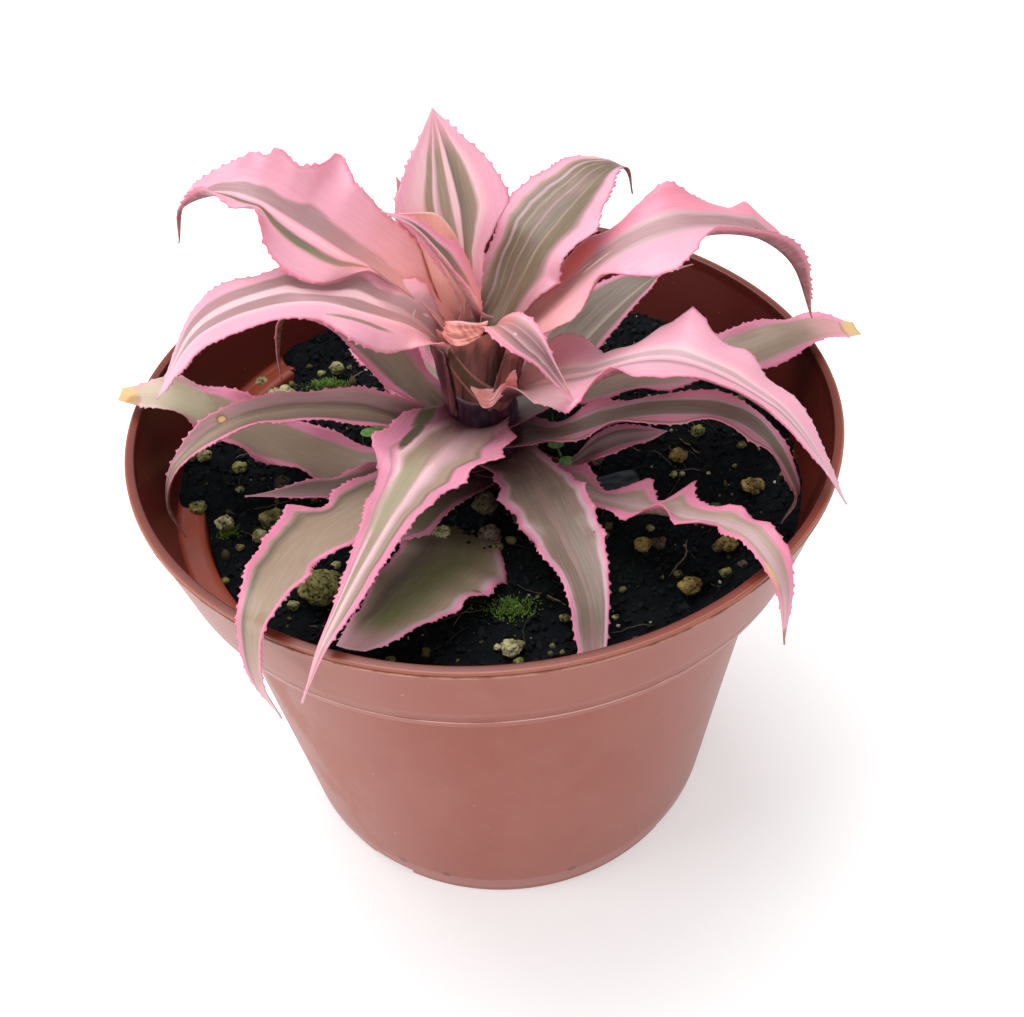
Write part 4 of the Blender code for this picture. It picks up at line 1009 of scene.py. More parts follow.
def soil_material():
    m = Look("soil", 0.95, specular=0.25)
    colour = m.ramp(m.noise(260, 5, 0.7), [
        (0.30, SOIL_BLACK), (0.50, (0.0014, 0.0030, 0.0055)),
        (0.64, (0.004, 0.008, 0.010)), (0.80, (0.014, 0.024, 0.024))])
    algae = m.noise(40).fit(0.54, 0.70, 0, 0.7)
    return m.done(m.mix(algae, colour, (0.004, 0.013, 0.008)), m.noise(900, 5, 0.75), 0.8, 0.8 * MM)


def crumb_material(name, dark, light, roughness=0.9):
    """Loose grains: each one's tint, in the attribute of that name, says how light it is."""
    m = Look(name, roughness, specular=0.3)
    share = m.maths("ADD", m.attribute("tint").parts()[0], (m.noise(900) - 0.5) * 0.5, clamp=True)
    return m.done(m.mix(share, dark, light), m.noise(1500), 0.5, 0.3 * MM)


def pumice_material(name, pit, shade, light):
    """Porous grain: dark pits, a mid tone and pale high spots, with some damp green; the pits are painted
    shade, the mid tone painted shade and the high spots painted light.
    """
    m = Look(name, 0.92)
    pits = m.noise(1300, 2, 0.6).fit(0.34, 0.46)
    tone = m.mix(m.noise(420, 4, 0.6).fit(0.36, 0.64), shade, light)
    tone = m.mix(m.noise(170, 2).fit(0.55, 0.70, 0, 0.55), tone, (0.16, 0.17, 0.05))
    return m.done(m.mix(pits, pit, tone), pits + m.noise(1100), 0.6, 0.35 * MM)


def stem_material():
    m = Look("stem", 0.75)
    fibres = m.noise(900, 4, stretch=(1, 1, 0.12))
    colour = m.ramp(fibres, [
        (0.30, (0.035, 0.010, 0.010)), (0.50, (0.12, 0.040, 0.022)), (0.72, (0.30, 0.15, 0.07))])
    return m.done(colour, fibres, 0.6, 0.4 * MM)


def chip_material():
    m = Look("dark_bark", 0.42)
    grain = m.noise(700, 4, stretch=(0.25, 1, 1))
    colour = m.mix(grain.fit(0.3, 0.7), (0.008, 0.012, 0.018), (0.035, 0.055, 0.075))
    return m.done(colour, grain, 0.35, 0.3 * MM)


def seedling_material():
    m = Look("seedling_green", 0.45, subsurface_weight=0.2, subsurface_scale=1 * MM)
    mottled = m.noise(900)
    colour = m.mix(mottled.fit(0.35, 0.65), (0.07, 0.20, 0.02), (0.16, 0.36, 0.05))
    return m.done(colour, mottled, 0.3, 0.1 * MM)


def moss_material():
    m = Look("moss", 0.8)
    colour = m.mix(m.attribute("tint").parts()[0], (0.025, 0.07, 0.008), (0.22, 0.36, 0.05))
    return m.done(colour, m.noise(1600, 2), 0.3, 0.1 * MM)


def wrap_material(name, dark, light, top=None, blotches=0.7, bands=()):
    """Outer side of a leaf base: fibres that run up it, darker blotches and a thin paler rim."""
    m = Look(name, 0.45, subsurface_weight=0.08, subsurface_scale=1 * MM)
    across, up, _ = m.attribute("tint").parts()
    grain = m.attribute("grain")
    fibres = m.noise(1100, 4, at=grain, stretch=(1, 0.07, 1))
    broad = m.noise(330, 2, at=grain, stretch=(1, 0.12, 1))
    colour = m.mix((fibres * 0.5 + broad * 0.6).fit(0.42, 0.70), dark, light)
    for start, end, half, shade in bands:
        off = across.away(up.fit(0, 1, start, end))
        colour = m.mix(off.fit(1.3 * half, 0.7 * half, 0, 0.85), colour, shade)
    if top:
        colour = m.mix((up + (broad - 0.5) * 0.3).fit(0.84, 1.0, 0, 0.85), colour, top)
    blotch = m.noise(260, 4, at=grain).fit(0.55, 0.72, 0, blotches)
    colour = m.mix(blotch, colour, tuple(value * 0.6 for value in dark))
    rim = tuple(min(0.9, value * 1.8 + 0.05) for value in light)
    return m.done(m.mix(up.fit(0.94, 1.0) * 0.35, colour, rim), fibres, 0.35, 0.25 * MM)


# ---------------------------------------------------------------- pot

def body_radius(height):
    share = height / STEP_HEIGHT
    return BASE_RADIUS + (BODY_TOP_RADIUS - BASE_RADIUS) * share


def pot_corners():
    """From the middle of the inside floor, over the rim, to the middle of the base."""
    step = STEP_HEIGHT
    floor = FLOOR_HEIGHT
    lip_inner = RIM_RADIUS - LIP_WIDTH
    edge = POT_HEIGHT - EDGE_HEIGHT
    groove = RIM_RADIUS - GROOVE_DEPTH
    foot = BASE_RADIUS - FOOT_INSET
    foot_inner = foot - FOOT_RING_WIDTH
    bend = 0.5 * MM
    tight = 0.1 * MM
    line = step + MOULD_LINE
    line_radius = COLLAR_FOOT_RADIUS + (RIM_RADIUS - COLLAR_FOOT_RADIUS) * 0.15
    return [
        (0, floor, 0),
        (body_radius(floor) - WALL, floor, 2 * bend),
        (BODY_TOP_RADIUS - WALL, step + 0.6 * WALL, 2 * bend),
        (BODY_TOP_RADIUS, step + WALL, bend),
        (COLLAR_FOOT_RADIUS - 1.5 * WALL, step + WALL, bend),
        (COLLAR_FOOT_RADIUS - WALL, step + 1.5 * WALL, bend),
        (lip_inner, POT_HEIGHT - LIP_HEIGHT, bend),
        (lip_inner, POT_HEIGHT, 0.35 * MM),
        (RIM_RADIUS, POT_HEIGHT, 0.3 * MM),
        (RIM_RADIUS, edge, tight),
        (groove, edge - tight, tight),
        (groove, edge - GROOVE_DEPTH, tight),
        (RIM_RADIUS + tight, edge - 1.1 * GROOVE_DEPTH, 0.5 * tight),
        (RIM_RADIUS - 2 * tight, edge - 1.7 * GROOVE_DEPTH, tight),
        (line_radius + 0.10 * MM, line + 0.12 * MM, 0),
        (line_radius - 0.06 * MM, line, 0),
        (line_radius + 0.08 * MM, line - 0.12 * MM, 0),
        (COLLAR_FOOT_RADIUS, step, 0.7 * MM),
        (BODY_TOP_RADIUS, step, 0.6 * MM),
        (body_radius(FOOT_HEIGHT) + FOOT_INSET / 4, FOOT_HEIGHT + FOOT_INSET, 2 * tight),
        (foot, FOOT_HEIGHT, 2 * tight),
        (foot, 0, 0.6 * MM),
        (foot_inner, 0, bend),
        (foot_inner - 0.5 * MM, RECESS_HEIGHT, bend),
        (CENTRE_PAD_RADIUS + 0.5 * MM, RECESS_HEIGHT, bend),
        (CENTRE_PAD_RADIUS, 0, bend),
        (0, 0, 0),
    ]


def drain_hole(shapes, where):
    bmesh.ops.create_cone(
        shapes, cap_ends=True, segments=40, radius1=DRAIN_HOLE_RADIUS,
        radius2=DRAIN_HOLE_RADIUS, depth=4 * FLOOR_THICKNESS, matrix=where)


def foot_notch(shapes, where):
    size = Matrix.Diagonal((2 * FOOT_RING_WIDTH, NOTCH_WIDTH, 2 * NOTCH_HEIGHT, 1))
    bmesh.ops.create_cube(shapes, size=1, matrix=where @ size)


def cut_ring(pot, name, turns, radius, height, make):
    """Cuts the pot with shapes that stand in a ring."""
    shapes = bmesh.new()
    for turn in turns:
        about = Matrix.Rotation(math.radians(turn), 4, "Z")
        make(shapes, about @ Matrix.Translation((radius, 0, height)))
    mesh = bpy.data.meshes.new(name)
    shapes.to_mesh(mesh)
    shapes.free()
    cutter = new_object(name, mesh)
    boolean = pot.modifiers.new(name, "BOOLEAN")
    boolean.object = cutter
    boolean.solver = "EXACT"
    cut = bpy.data.meshes.new_from_object(pot.evaluated_get(bpy.context.evaluated_depsgraph_get()))
    pot.modifiers.clear()
    pot.data = cut
    bpy.data.objects.remove(cutter)


def build_pot():
    points, faces = lathe(refined(rounded(pot_corners()), 4 * MM), POT_STEPS)
    # a thin moulding is never quite true: the wall wavers by a fraction of a millimetre
    moved = []
    for x, y, z in points:
        sway = noise.noise((x * 18, y * 18, z * 12)) * 0.25 * MM * min(1, z / (20 * MM))
        swell = 1 + sway / (math.hypot(x, y) or 1)
        moved.append((x * swell, y * swell, z))
    pot = piece_from("pot_shell", moved, faces, plastic_material())
    drains = np.arange(DRAIN_COUNT) * 360 / DRAIN_COUNT
    cut_ring(pot, "drain_holes", drains, DRAIN_CIRCLE_RADIUS, RECESS_HEIGHT, drain_hole)
    cut_ring(pot, "foot_notches", NOTCH_TURNS, BASE_RADIUS - FOOT_RING_WIDTH / 2, 0, foot_notch)
    pot.data.shade_smooth()
    pot.data.set_sharp_from_angle(angle=math.radians(42))
    settle(pot, "pot")


# ---------------------------------------------------------------- soil and what lies on it

def ledge_cover(angle):
    """1 where soil lies on the ledge inside the wall, 0 where the ledge is bare."""
    turn = math.degrees(angle) % 360
    ragged = 5 * noise.noise((math.cos(angle) * 4, math.sin(angle) * 4, 0.5))
    cover = 1.0
    for start, end in BARE_LEDGE:
        inside = min(turn - start + ragged, end + ragged - turn)
        cover = min(cover, 1 - float(smooth_step(inside / 5 + 0.5)))
    return cover


def soil_reach(angle):
    """Radius of the soil's edge: the pot's inner wall, on or below the ledge."""
    low = body_radius(SOIL_TOP) - WALL - SOIL_GAP
    high = COLLAR_FOOT_RADIUS - 0.5 * MM
    return low + (high - low) * ledge_cover(angle)


def soil_height(x, y):
    """Height of the uneven soil surface under a point."""
    distance = math.hypot(x, y)
    height = SOIL_TOP + SOIL_CROWN * (1 - min(1, distance / BODY_TOP_RADIUS))
    spot = Vector((x, y, 0))
    height += 0.9 * MM * noise.fractal(spot * 90, 0.9, 2.1, 4)
    height += 0.5 * MM * noise.fractal(spot * 420 + Vector((3, 1, 7)), 0.8, 2.2, 3)
    height = min(height, SOIL_TOP + 1.6 * MM)
    if distance > SOIL_BANK:
        bank = smooth_step((distance - SOIL_BANK) / (6 * MM)) * ledge_cover(math.atan2(y, x))
        height += LEDGE_SOIL * float(bank)
    return height


def build_soil():
    """One closed root ball: a lumpy top over plain sides that the pot hides."""
    low_radius = body_radius(SOIL_TOP) - WALL - SOIL_GAP
    ledge = STEP_HEIGHT + 0.7 * WALL
    floor = FLOOR_HEIGHT + SOIL_GAP
    rings, steps = 120, 360
    turn = np.linspace(0, 2 * math.pi, steps, endpoint=False)
    reach = [soil_reach(a) for a in turn]
    points = [(0, 0, SOIL_TOP - STEM_DEPTH / 2)]
    start = STEM_RADIUS * 0.6
    for i in range(rings):
        share = (i / (rings - 1)) ** 0.8
        for a, edge in zip(turn, reach):
            radius = start + (edge - start) * share
            x, y = radius * math.cos(a), radius * math.sin(a)
            points.append((x, y, soil_height(x, y)))
    # under the edge: through the ledge's plastic, then down the inside of the wall
    for k in (0, 1):
        for a, edge in zip(turn, reach):
            top = soil_height(edge * math.cos(a), edge * math.sin(a)) - (0.3 + 0.3 * k) * MM
            radius = (edge, low_radius)[k]
            points.append((radius * math.cos(a), radius * math.sin(a), min(top, ledge)))
    points += circle(low_radius, SOIL_TOP - 3 * MM, steps)
    points += circle(body_radius(floor + WALL) - WALL - SOIL_GAP, floor + WALL, steps)
    points += circle(body_radius(floor) - 2 * WALL, floor, steps)
    points.append((0, 0, floor))
    faces = turned_faces(rings + 5, steps)
    settle(piece_from("soil_surface", points, faces, soil_material()), "potting_soil")


def grain_shapes(count, subdivisions, roughness, seed):
    """A few irregular unit grains: lists of (points, faces)."""
    shapes = []
    for k in range(count):
        points, faces = ball(subdivisions)
        offset = Vector((seed + 3.7 * k, 1.3 * k, 5.1 * seed))
        for i, point in enumerate(points):
            swell = 1 + roughness * noise.noise(point * 1.1 + offset)
            swell += 0.5 * roughness * noise.noise(point * 2.7 + offset)
            points[i] = np.array(point) * swell
        shapes.append((np.array(points), faces))
    return shapes


def spin(random):
    """A random turn, as a 3 by 3 matrix."""
    a, b, c, d = random.normal(size=4)
    return np.array(Quaternion((a, b, c, d)).normalized().to_matrix())


def scatter(name, count, sizes, shapes, material, seed, bias=2.0, smooth=True):
    """Strews grains over the soil as one piece; each keeps a tint of its own."""
    random = np.random.default_rng(seed)
    heap = Heap()
    for _ in range(count):
        size = (sizes[0] + (sizes[1] - sizes[0]) * random.random() ** bias) * MM / 2
        angle = random.random() * 2 * math.pi
        reach = (soil_reach(angle) - size) * math.sqrt(random.random())
        points, faces = shapes[random.integers(len(shapes))]
        scale = np.array([1, 0.65 + 0.35 * random.random(), GRAIN_FLATNESS]) * size
        x, y = reach * math.cos(angle), reach * math.sin(angle)
        tint = random.random()
        if reach < STEM_RADIUS + 2 * MM:
            continue
        middle = (x, y, soil_height(x, y) + 0.5 * size * GRAIN_FLATNESS)
        heap.add((points * scale) @ spin(random).T + middle, faces, tint)
    heap.settle(name, material, smooth=smooth)


def build_fibres():
    """Fine roots and coir fibres that lie on the soil."""
    random = np.random.default_rng(11)
    heap = Heap()
    for _ in range(FIBRE_COUNT):
        reach = 53 * MM * math.sqrt(random.random())
        angle = random.random() * 2 * math.pi
        heading = random.random() * 2 * math.pi
        length = (4 + 9 * random.random()) * MM
        radius = (0.07 + 0.12 * random.random()) * MM
        tint = random.random() ** 2
        x, y = reach * math.cos(angle), reach * math.sin(angle)
        path = []
        for k in range(9):
            heading += (random.random() - 0.5) * 0.7
            x += math.cos(heading) * length / 8
            y += math.sin(heading) * length / 8
            if math.hypot(x, y) > body_radius(SOIL_TOP) - 2 * WALL:
                break
            lift = 0.5 * MM * math.sin(math.pi * k / 8)
            path.append((x, y, soil_height(x, y) + radius + lift))
        if len(path) > 3 and reach > STEM_RADIUS:
            heap.add(*tube(path, radius), tint)
    heap.settle("soil_fibres", crumb_material("fibres", (0.02, 0.014, 0.010), (0.26, 0.20, 0.13), 0.7))


def build_moss():
    """Low tufts of moss: short curved shoots, thickest in the middle."""
    random = np.random.default_rng(5)
    heap = Heap()
    for x0, y0, half_length, half_width in MOSS_TUFTS:
        for _ in range(SHOOT_COUNT):
            u, v = random.normal(size=2) * 0.42
            x, y = (x0 + half_length * u) * MM, (y0 + half_width * v) * MM
            height = (0.7 + 1.3 * random.random()) * MM * max(0.3, 1 - 0.6 * (u * u + v * v))
            dx, dy = random.normal(size=2) * 0.35 * height
            foot = soil_height(x, y) - 0.2 * MM
            path = [
                (x, y, foot), (x + 0.35 * dx, y + 0.35 * dy, foot + 0.55 * height),
                (x + dx, y + dy, foot + height)]
            heap.add(*tube(path, 0.16 * MM, sides=4), random.random())
    heap.settle("moss_tufts", moss_material())


def clump(place, radii, seed, subdivisions):
    """Points and faces of one cindery grain: lumps with deep creases between them."""
    points, faces = ball(subdivisions)
    offset = Vector((7.3, 3.1, 5.7)) * seed
    for i, unit in enumerate(points):
        swell = 1 + 0.30 * noise.noise(unit * 1.1 + offset) + 0.16 * noise.noise(unit * 2.4 + offset)
        crease = max(0, 0.85 - 5 * abs(noise.noise(unit * 1.5 + offset * 2)))
        grit = 0.06 * noise.noise(unit * 7 + offset) + 0.03 * noise.noise(unit * 15 + offset)
        points[i] = unit * (swell - 0.17 * crease + grit) * Vector(radii)
    lowest = min(point.z for point in points)
    lift = Vector(place) - Vector((0, 0, lowest))
    return [point + lift for point in points], faces


def build_stones():
    pumice = {kind: pumice_material(kind, *colours) for kind, colours in PUMICE_COLOURS.items()}
    base = SOIL_TOP + SOIL_CROWN + 0.2 * MM
    for seed, (name, ((x, y), size, kind)) in enumerate(STONES.items()):
        radii = [value * MM / 2 for value in size]
        stone = clump((x * MM, y * MM, base), radii, seed, 5)
        settle(piece_from(name + "_grain", *stone, pumice[kind]), name)
    for kind, grains in LOOSE_GRAINS.items():
        heap = Heap()
        for seed, (x, y, size) in enumerate(grains):
            radius = size * MM / 2
            foot = soil_height(x * MM, y * MM) - 0.25 * radius
            heap.add(*clump(
                (x * MM, y * MM, foot), (radius, 0.85 * radius, 0.8 * radius), 20 + seed, 4))
        heap.settle("loose_" + kind, pumice[kind])


def build_chip():
    """A thin flake of dark bark, uneven and slightly cupped."""
    length, width, height = (value * MM for value in CHIP_SIZE)
    chip = bmesh.new()
    bmesh.ops.create_cube(chip, size=1)
    bmesh.ops.subdivide_edges(chip, edges=chip.edges[:], cuts=17, use_grid_fill=True)
    chip.verts.index_update()
    turn = Matrix.Rotation(math.radians(CHIP_TURN), 4, "Z")
    low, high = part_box("bark_chip")
    points = []
    for vertex in chip.verts:
        u, v, w = 2 * vertex.co
        corner = (abs(u) ** 5 + abs(v) ** 5) ** 0.2
        ragged = 1 + 0.10 * noise.noise(Vector((u, v, 0)) * 1.7)
        spread = ragged / max(1, 0.82 * corner + 0.18) / 2
        edge = 1 - 0.45 * max(abs(u), abs(v)) ** 6
        lift = w * edge * height * 0.42 + 0.3 * MM * noise.noise(Vector((u, v, w)) * 2.2)
        points.append(turn @ Vector((u * spread * length, v * spread * width, lift)) + (low + high) / 2)
    faces = [tuple(v.index for v in face.verts) for face in chip.faces]
    chip.free()
    settle(piece_from("bark_chip_flake", points, faces, chip_material()), "bark_chip")


def seed_leaf(top):
    """Points and faces of a round, dished leaf: an upper and a lower side."""
    rings, steps = 7, 24
    points = []
    for side in (1, -1):
        for i in range(rings):
            share = i / (rings - 1)
            dish = 0.35 * MM * share**2 + 0.22 * MM * (1 - share**4) * side
            for x, y, z in circle(1.75 * MM * share, dish, steps):
                points.append(top + Vector((x, 0.88 * y, z)))
    faces = grid_faces(rings, steps, flip=True, wrap=True)
    return points, faces + grid_faces(rings, steps, first=rings * steps, wrap=True)


def build_seedlings():
    """Each has two seed leaves on bent stalks that share a foot."""
    material = seedling_material()
    for name, ((x, y), height, turn, spread) in SEEDLINGS.items():
        foot = Vector((x * MM, y * MM, SOIL_TOP + SOIL_CROWN))
        up = Vector((0, 0, MM))
        heap = Heap()
        for sign in (1, -1):
            across = Vector((math.cos(math.radians(turn)), math.sin(math.radians(turn)), 0)) * sign * MM
            top = foot + height * up + across * spread
            path = [foot - 0.5 * up, foot + 0.6 * height * up + 0.2 * across, top - 0.9 * across, top]
            heap.add(*tube(path, 0.28 * MM, sides=8))
            heap.add(*seed_leaf(top))
        heap.settle(name + "_sprout", material, name)


# ---------------------------------------------------------------- stem and leaves

def build_stem():
    """A short trunk with the rings that fallen leaves left."""
    foot = SOIL_TOP - STEM_DEPTH
    profile = [(0, STEM_TOP)]
    for height in np.linspace(STEM_TOP, foot, 90):
        taper = smooth_step((STEM_TOP - height) / (STEM_TOP - STEM_NARROWS))
        radius = STEM_TIP_RADIUS + (STEM_RADIUS - 0.35 * MM - STEM_TIP_RADIUS) * float(taper) ** 0.7
        radius += 0.25 * MM * abs(math.sin(height / (1.15 * MM)))
        profile.append((radius, height))
    profile.append((0, foot))
    settle(piece_from("stem_trunk", *lathe(profile, 72), stem_material()), "stem")


def build_wrap(name, seed, lower, upper, **look):
    columns, rows = 90, 26
    s = np.linspace(0, 1, columns)
    low, high = (
        smooth(np.linspace(0, 1, len(knots)), np.array(knots, float), s) for knots in (lower, upper))
    up = np.linspace(0, 1, rows)[:, None]
    grid = low * (1 - up[:, :, None]) + high * up[:, :, None]
    azimuth, height, radius = np.radians(grid[:, :, 0]), grid[:, :, 1] * MM, grid[:, :, 2] * MM
    sway = np.array([
        [noise.noise((2.2 * a, 0.35 * k, seed * 3.3)) for a in azimuth[k]] for k in range(rows)])
    radius = radius + 0.30 * MM * sway
    height = height + 0.5 * MM * sway * up
    sheets = []
    for out in (radius, radius - 0.4 * MM):
        sheets.append(np.stack([out * np.cos(azimuth), out * np.sin(azimuth), height], axis=2))
    across = np.broadcast_to(s, (rows, columns))
    tint = np.stack([across, across * 0 + up, across * 0], axis=2)
    grain = np.stack([azimuth * radius, height, across * 0 + seed], axis=2)
    settle(piece_from(
        name, np.concatenate(sheets).reshape(-1, 3), sheet_faces(rows, columns),
        wrap_material(name, **look), tint=[tint, tint], grain=[grain, grain]))


def build_wraps():
    for seed, (name, shape) in enumerate(WRAPS.items()):
        build_wrap(name, seed, **shape)


def midrib_frame(rib, stations, roll, blade_at, at, side):
    """The midrib's points, its direction, and the blade's sideways and normal directions."""
    centre = smooth(stations, rib, at)
    step = 0.001
    before, after = (smooth(stations, rib, np.clip(at + s, 0, 1)) for s in (-step, step))
    along = after - before
    along /= np.linalg.norm(along, axis=1)[:, None]
    level = side - along * (along @ side)[:, None]
    level /= np.linalg.norm(level, axis=1)[:, None]
    rolled = np.radians(evenly(roll, blade_at))[:, None]
    sideways = np.cos(rolled) * level + np.sin(rolled) * np.cross(along, level)
    return centre, along, sideways, np.cross(along, sideways)


def shaped_margin(margin, sheath, run, blade_at, length, swing, random):
    """Half widths and ruffle of one margin, with scallops, waves, cusps, hollows and lobes."""
    half, _, cusps, lobes = margin
    width = np.maximum(evenly(half, blade_at) * MM, LEAF_TIP_HALF_WIDTH)
    width = np.maximum(width, SHEATH_WIDTH * (1 - smooth_step((run - 4 * MM) / (sheath * MM))))
    grown = smooth_step((width - 1.5 * MM) / (4 * MM)) * smooth_step((run - 8 * MM) / (10 * MM))
    pitch = (6.5 + 3 * random.random()) * MM
    phase = random.random() * math.pi
    drift = 0.9 * np.sin(run / (9 * MM) + 6 * random.random())
    grown *= 0.35 if cusps or lobes else 1.0        # chance gives way to the shapes that are placed
    width = width + (0.5 - np.abs(np.sin(math.pi * run / pitch + phase + drift))) * 0.5 * MM * grown
    ruffle = np.sin(2 * math.pi * run / (2.1 * pitch) + 2 * phase + drift) * swing * MM * grown
    for where, outward, up in cusps:
        away = np.abs(blade_at - where) * length
        near = np.maximum(0, 1 - away / CUSP_REACH) ** 1.4
        if outward < 0:
            near = smooth_step(1 - away / DIP_REACH)
        width = np.maximum(width + outward * MM * near, LEAF_TIP_HALF_WIDTH)
        ruffle += up * MM * near
    if lobes:
        place, outward, up = np.array(lobes, float).T
        width = np.maximum(width + MM * eased(np.interp(blade_at, place, outward)), LEAF_TIP_HALF_WIDTH)
        ruffle += MM * eased(np.interp(blade_at, place, up))
    return width, ruffle


def add_teeth(middle, width, run, along, random):
    """Teeth lean outward and forward, every few rows, on both margins."""
    rows, columns = width.shape
    for column, sign in ((0, -1), (columns - 1, 1)):
        row = 6 + int(random.integers(4))
        while row < rows - 6:
            if run[row] > 9 * MM and width[row, column] > 1.1 * MM:
                outward = middle[row, column] - middle[row, column - sign]
                outward /= np.linalg.norm(outward)
                tooth = TOOTH_LENGTH * (0.55 + 0.6 * random.random())
                middle[row, column] += tooth * (0.8 * outward + 0.55 * along[row])
            row += int(random.integers(TOOTH_SPACING[0], TOOTH_SPACING[1] + 1))


def build_leaf(name, seed, azimuth, midrib, left, right, stripes, base="maroon", roll=(0, 0),
               cup=DEFAULT_CUP, foot=FOOT, sheath=SHEATH, marks=(), flush=FLUSH):
    random = np.random.default_rng(seed)
    turn = math.radians(azimuth)
    out = np.array([math.cos(turn), math.sin(turn), 0])
    side = np.array([-math.sin(turn), math.cos(turn), 0])
    # a foot below the first point: the solid leaf starts where the blade leaves the stem
    reach, aside, height = midrib[0]
    foot = max(1.5, min(foot, height - SOIL_TOP / MM + 0.1))
    midrib = ((max(reach, 3.5) - 0.2, aside, height - foot), *midrib)
    rib = np.array([x * out + y * side + z * np.array([0, 0, 1]) for x, y, z in midrib]) * MM
    lengths = np.linalg.norm(np.diff(rib, axis=0), axis=1)
    length = lengths.sum()
    stations = np.concatenate([[0], np.cumsum(lengths)]) / length
    rows = max(40, int(length / ROW_SPACING))
    at = np.linspace(0, 1, rows)
    run = at * length
    blade_at = np.clip((at - stations[1]) / (1 - stations[1]), 0, 1)     # 0 where the solid leaf starts
    centre, along, sideways, normal = midrib_frame(rib, stations, roll, blade_at, at, side)
    swing = 0.7 if base == "peach" else 1.0
    (left_width, left_ruffle), (right_width, right_ruffle) = (
        shaped_margin(margin, sheath[0], run, blade_at, length, swing, random) for margin in (left, right))

    # the blade: cupped, waved and ruffled towards its margins, with shallow lengthwise ribs
    across = np.concatenate([-BLADE_COLUMNS[:0:-1], BLADE_COLUMNS])
    to_left = across > 0
    off = np.abs(across)
    width = np.where(to_left, left_width[:, None], right_width[:, None])
    wave_left, wave_right = (evenly(margin[1], blade_at)[:, None] for margin in (left, right))
    lift = evenly(cup, blade_at)[:, None] * width * off**CUP_POWER
    lift = lift + np.where(to_left, wave_left, wave_right) * MM * off**WAVE_POWER
    lift = lift + np.where(to_left, left_ruffle[:, None], right_ruffle[:, None]) * off**3
    lift = lift + 0.07 * MM * np.cos(across * 21) * smooth_step(width / (5 * MM))
    middle = (
        centre[:, None] + (across * width)[:, :, None] * sideways[:, None]
        + lift[:, :, None] * normal[:, None])

    # the lowest part wraps round the stem as a sheath
    sheath_length, to_its_left, to_its_right = sheath
    wrapped = 1 - smooth_step((run / MM - 0.4 * sheath_length) / (0.8 * sheath_length))
    reach = np.hypot(centre[:, 0], centre[:, 1])[:, None] + 0.6 * MM * off**2
    angle = turn + np.radians(np.where(to_left, to_its_left, to_its_right) * across)
    ring = np.stack([
        reach * np.cos(angle), reach * np.sin(angle), centre[:, 2][:, None] + 2 * MM * off**2 + 0 * reach],
        axis=2)
    share = wrapped[:, None, None]
    middle = middle * (1 - share) + ring * share
    add_teeth(middle, width, run, along, random)

    # two faces, thick at the midrib and thin at the margins
    facing = np.cross(np.gradient(middle, axis=0), np.gradient(middle, axis=1))
    facing = facing / np.maximum(np.linalg.norm(facing, axis=2)[:, :, None], 1e-12)
    thick = LEAF_EDGE_THICKNESS + (LEAF_MIDDLE_THICKNESS - LEAF_EDGE_THICKNESS) * (1 - off**1.5)
    thick = thick * (0.35 + 0.65 * smooth_step((1 - at) * length / (18 * MM)))[:, None]
    shell = facing * thick[:, :, None] / 2
    points = np.concatenate([middle + shell, middle - shell]).reshape(-1, 3)
    faces = [face[::-1] for face in sheet_faces(rows, len(across))]
    blank = np.zeros_like(width)
    blade = [np.stack([blank + across, blank + at[:, None], blank + upper], axis=2) for upper in (1, 0)]
    size = np.stack([across * width, blank + run[:, None], blank + seed * 0.37], axis=2)
    material = leaf_material(name, stripes, base, marks, flush)
    settle(piece_from(name + "_blade", points, faces, material, blade=blade, size=[size, size]), name)


# ---------------------------------------------------------------- studio

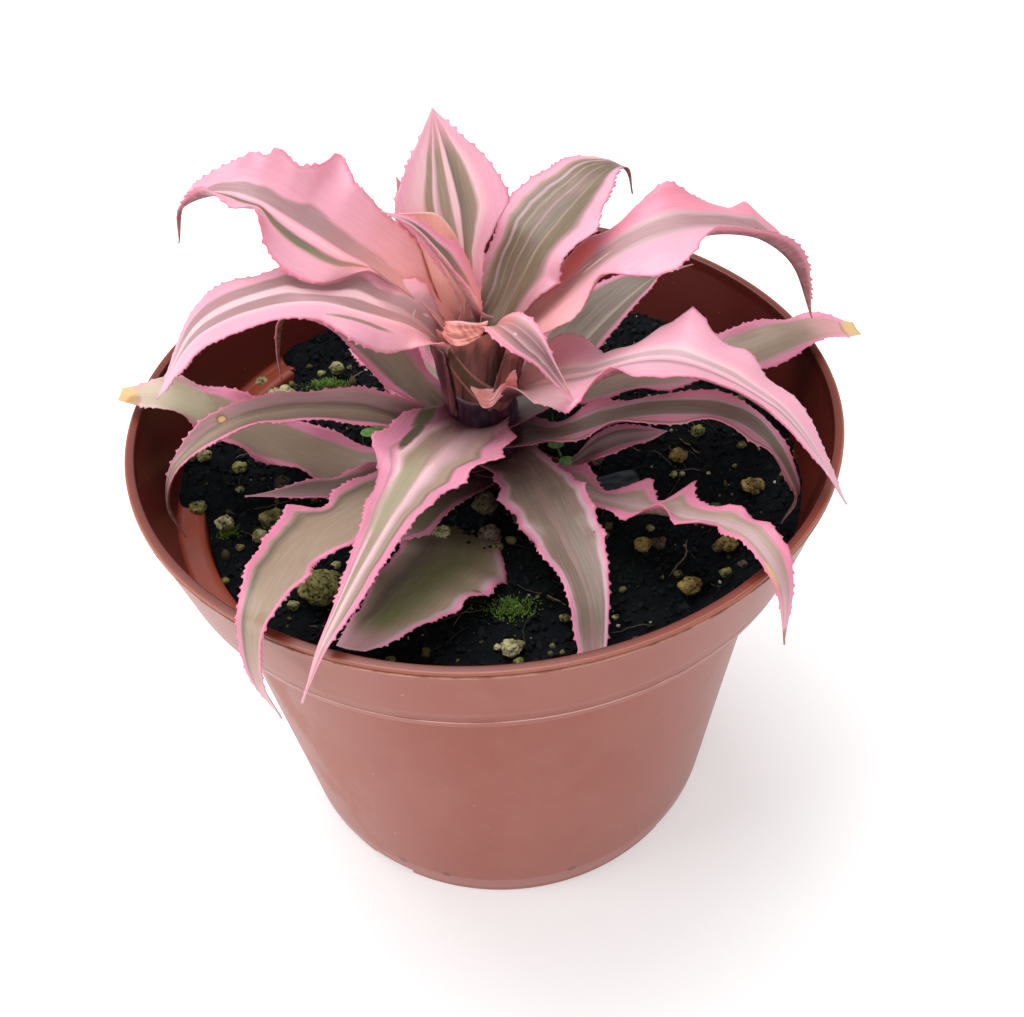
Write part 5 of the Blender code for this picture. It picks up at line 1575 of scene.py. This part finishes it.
def build_studio():
    half = 3
    corners = [(-half, -half, 0), (half, -half, 0), (half, half, 0), (-half, half, 0)]
    white = (0.88, 0.88, 0.89)
    look = Look(
        "floor", 0.9, base_color=white, emission_color=(1, 1, 1), emission_strength=0.33, specular=0.1)
    piece_from("floor", corners, [(0, 1, 2, 3)], look.material, smooth=False)

    world = bpy.data.worlds.new("studio")
    bpy.context.scene.world = world
    world.use_nodes = True
    background = world.node_tree.nodes["Background"]
    background.inputs["Color"].default_value = (1, 1, 1, 1)
    background.inputs["Strength"].default_value = DAYLIGHT

    for name, place, size, power in LIGHTS:
        light = bpy.data.lights.new(name, "AREA")
        light.size = size
        light.energy = power
        lamp = new_object(name, light)
        lamp.location = place
        lamp.rotation_euler = (Vector(LIGHT_AIM) - Vector(place)).to_track_quat("-Z", "Y").to_euler()


def build_camera():
    lens = bpy.data.cameras.new("camera")
    lens.lens = CAMERA_LENS
    lens.sensor_width = SENSOR_WIDTH
    lens.sensor_fit = "HORIZONTAL"
    lens.clip_start = 0.01
    camera = new_object("camera", lens)
    level = (Vector(CAMERA_AIM) - Vector(CAMERA_PLACE)).to_track_quat("-Z", "Y").to_matrix().to_4x4()
    roll = Matrix.Rotation(math.radians(CAMERA_ROLL), 4, "Z")
    camera.matrix_world = Matrix.Translation(CAMERA_PLACE) @ level @ roll
    bpy.context.scene.camera = camera
    bpy.context.scene.view_settings.view_transform = "Standard"


def build():
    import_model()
    build_camera()
    build_studio()
    build_pot()
    build_soil()
    build_stem()
    build_wraps()
    for seed, (name, shape) in enumerate(LEAVES.items()):
        build_leaf(name, seed, **shape)
    build_stones()
    build_chip()
    build_seedlings()
    crumbs = grain_shapes(10, 1, 0.9, 2)
    grains = grain_shapes(8, 2, 0.5, 4)
    crumb = crumb_material("crumbs", SOIL_BLACK, (0.009, 0.013, 0.014))
    perlite = crumb_material("perlite", (0.22, 0.20, 0.12), (0.66, 0.63, 0.50))
    gravel = crumb_material("gravel", (0.035, 0.032, 0.012), (0.20, 0.17, 0.06))
    scatter("soil_crumbs", CRUMB_COUNT, (0.35, 1.9), crumbs, crumb, 1, bias=2.4, smooth=False)
    scatter("perlite_grains", PERLITE_COUNT, (0.25, 1.2), grains, perlite, 2)
    scatter("gravel_grains", GRAVEL_COUNT, (0.6, 2.4), grains, gravel, 3)
    build_fibres()
    build_moss()


build()
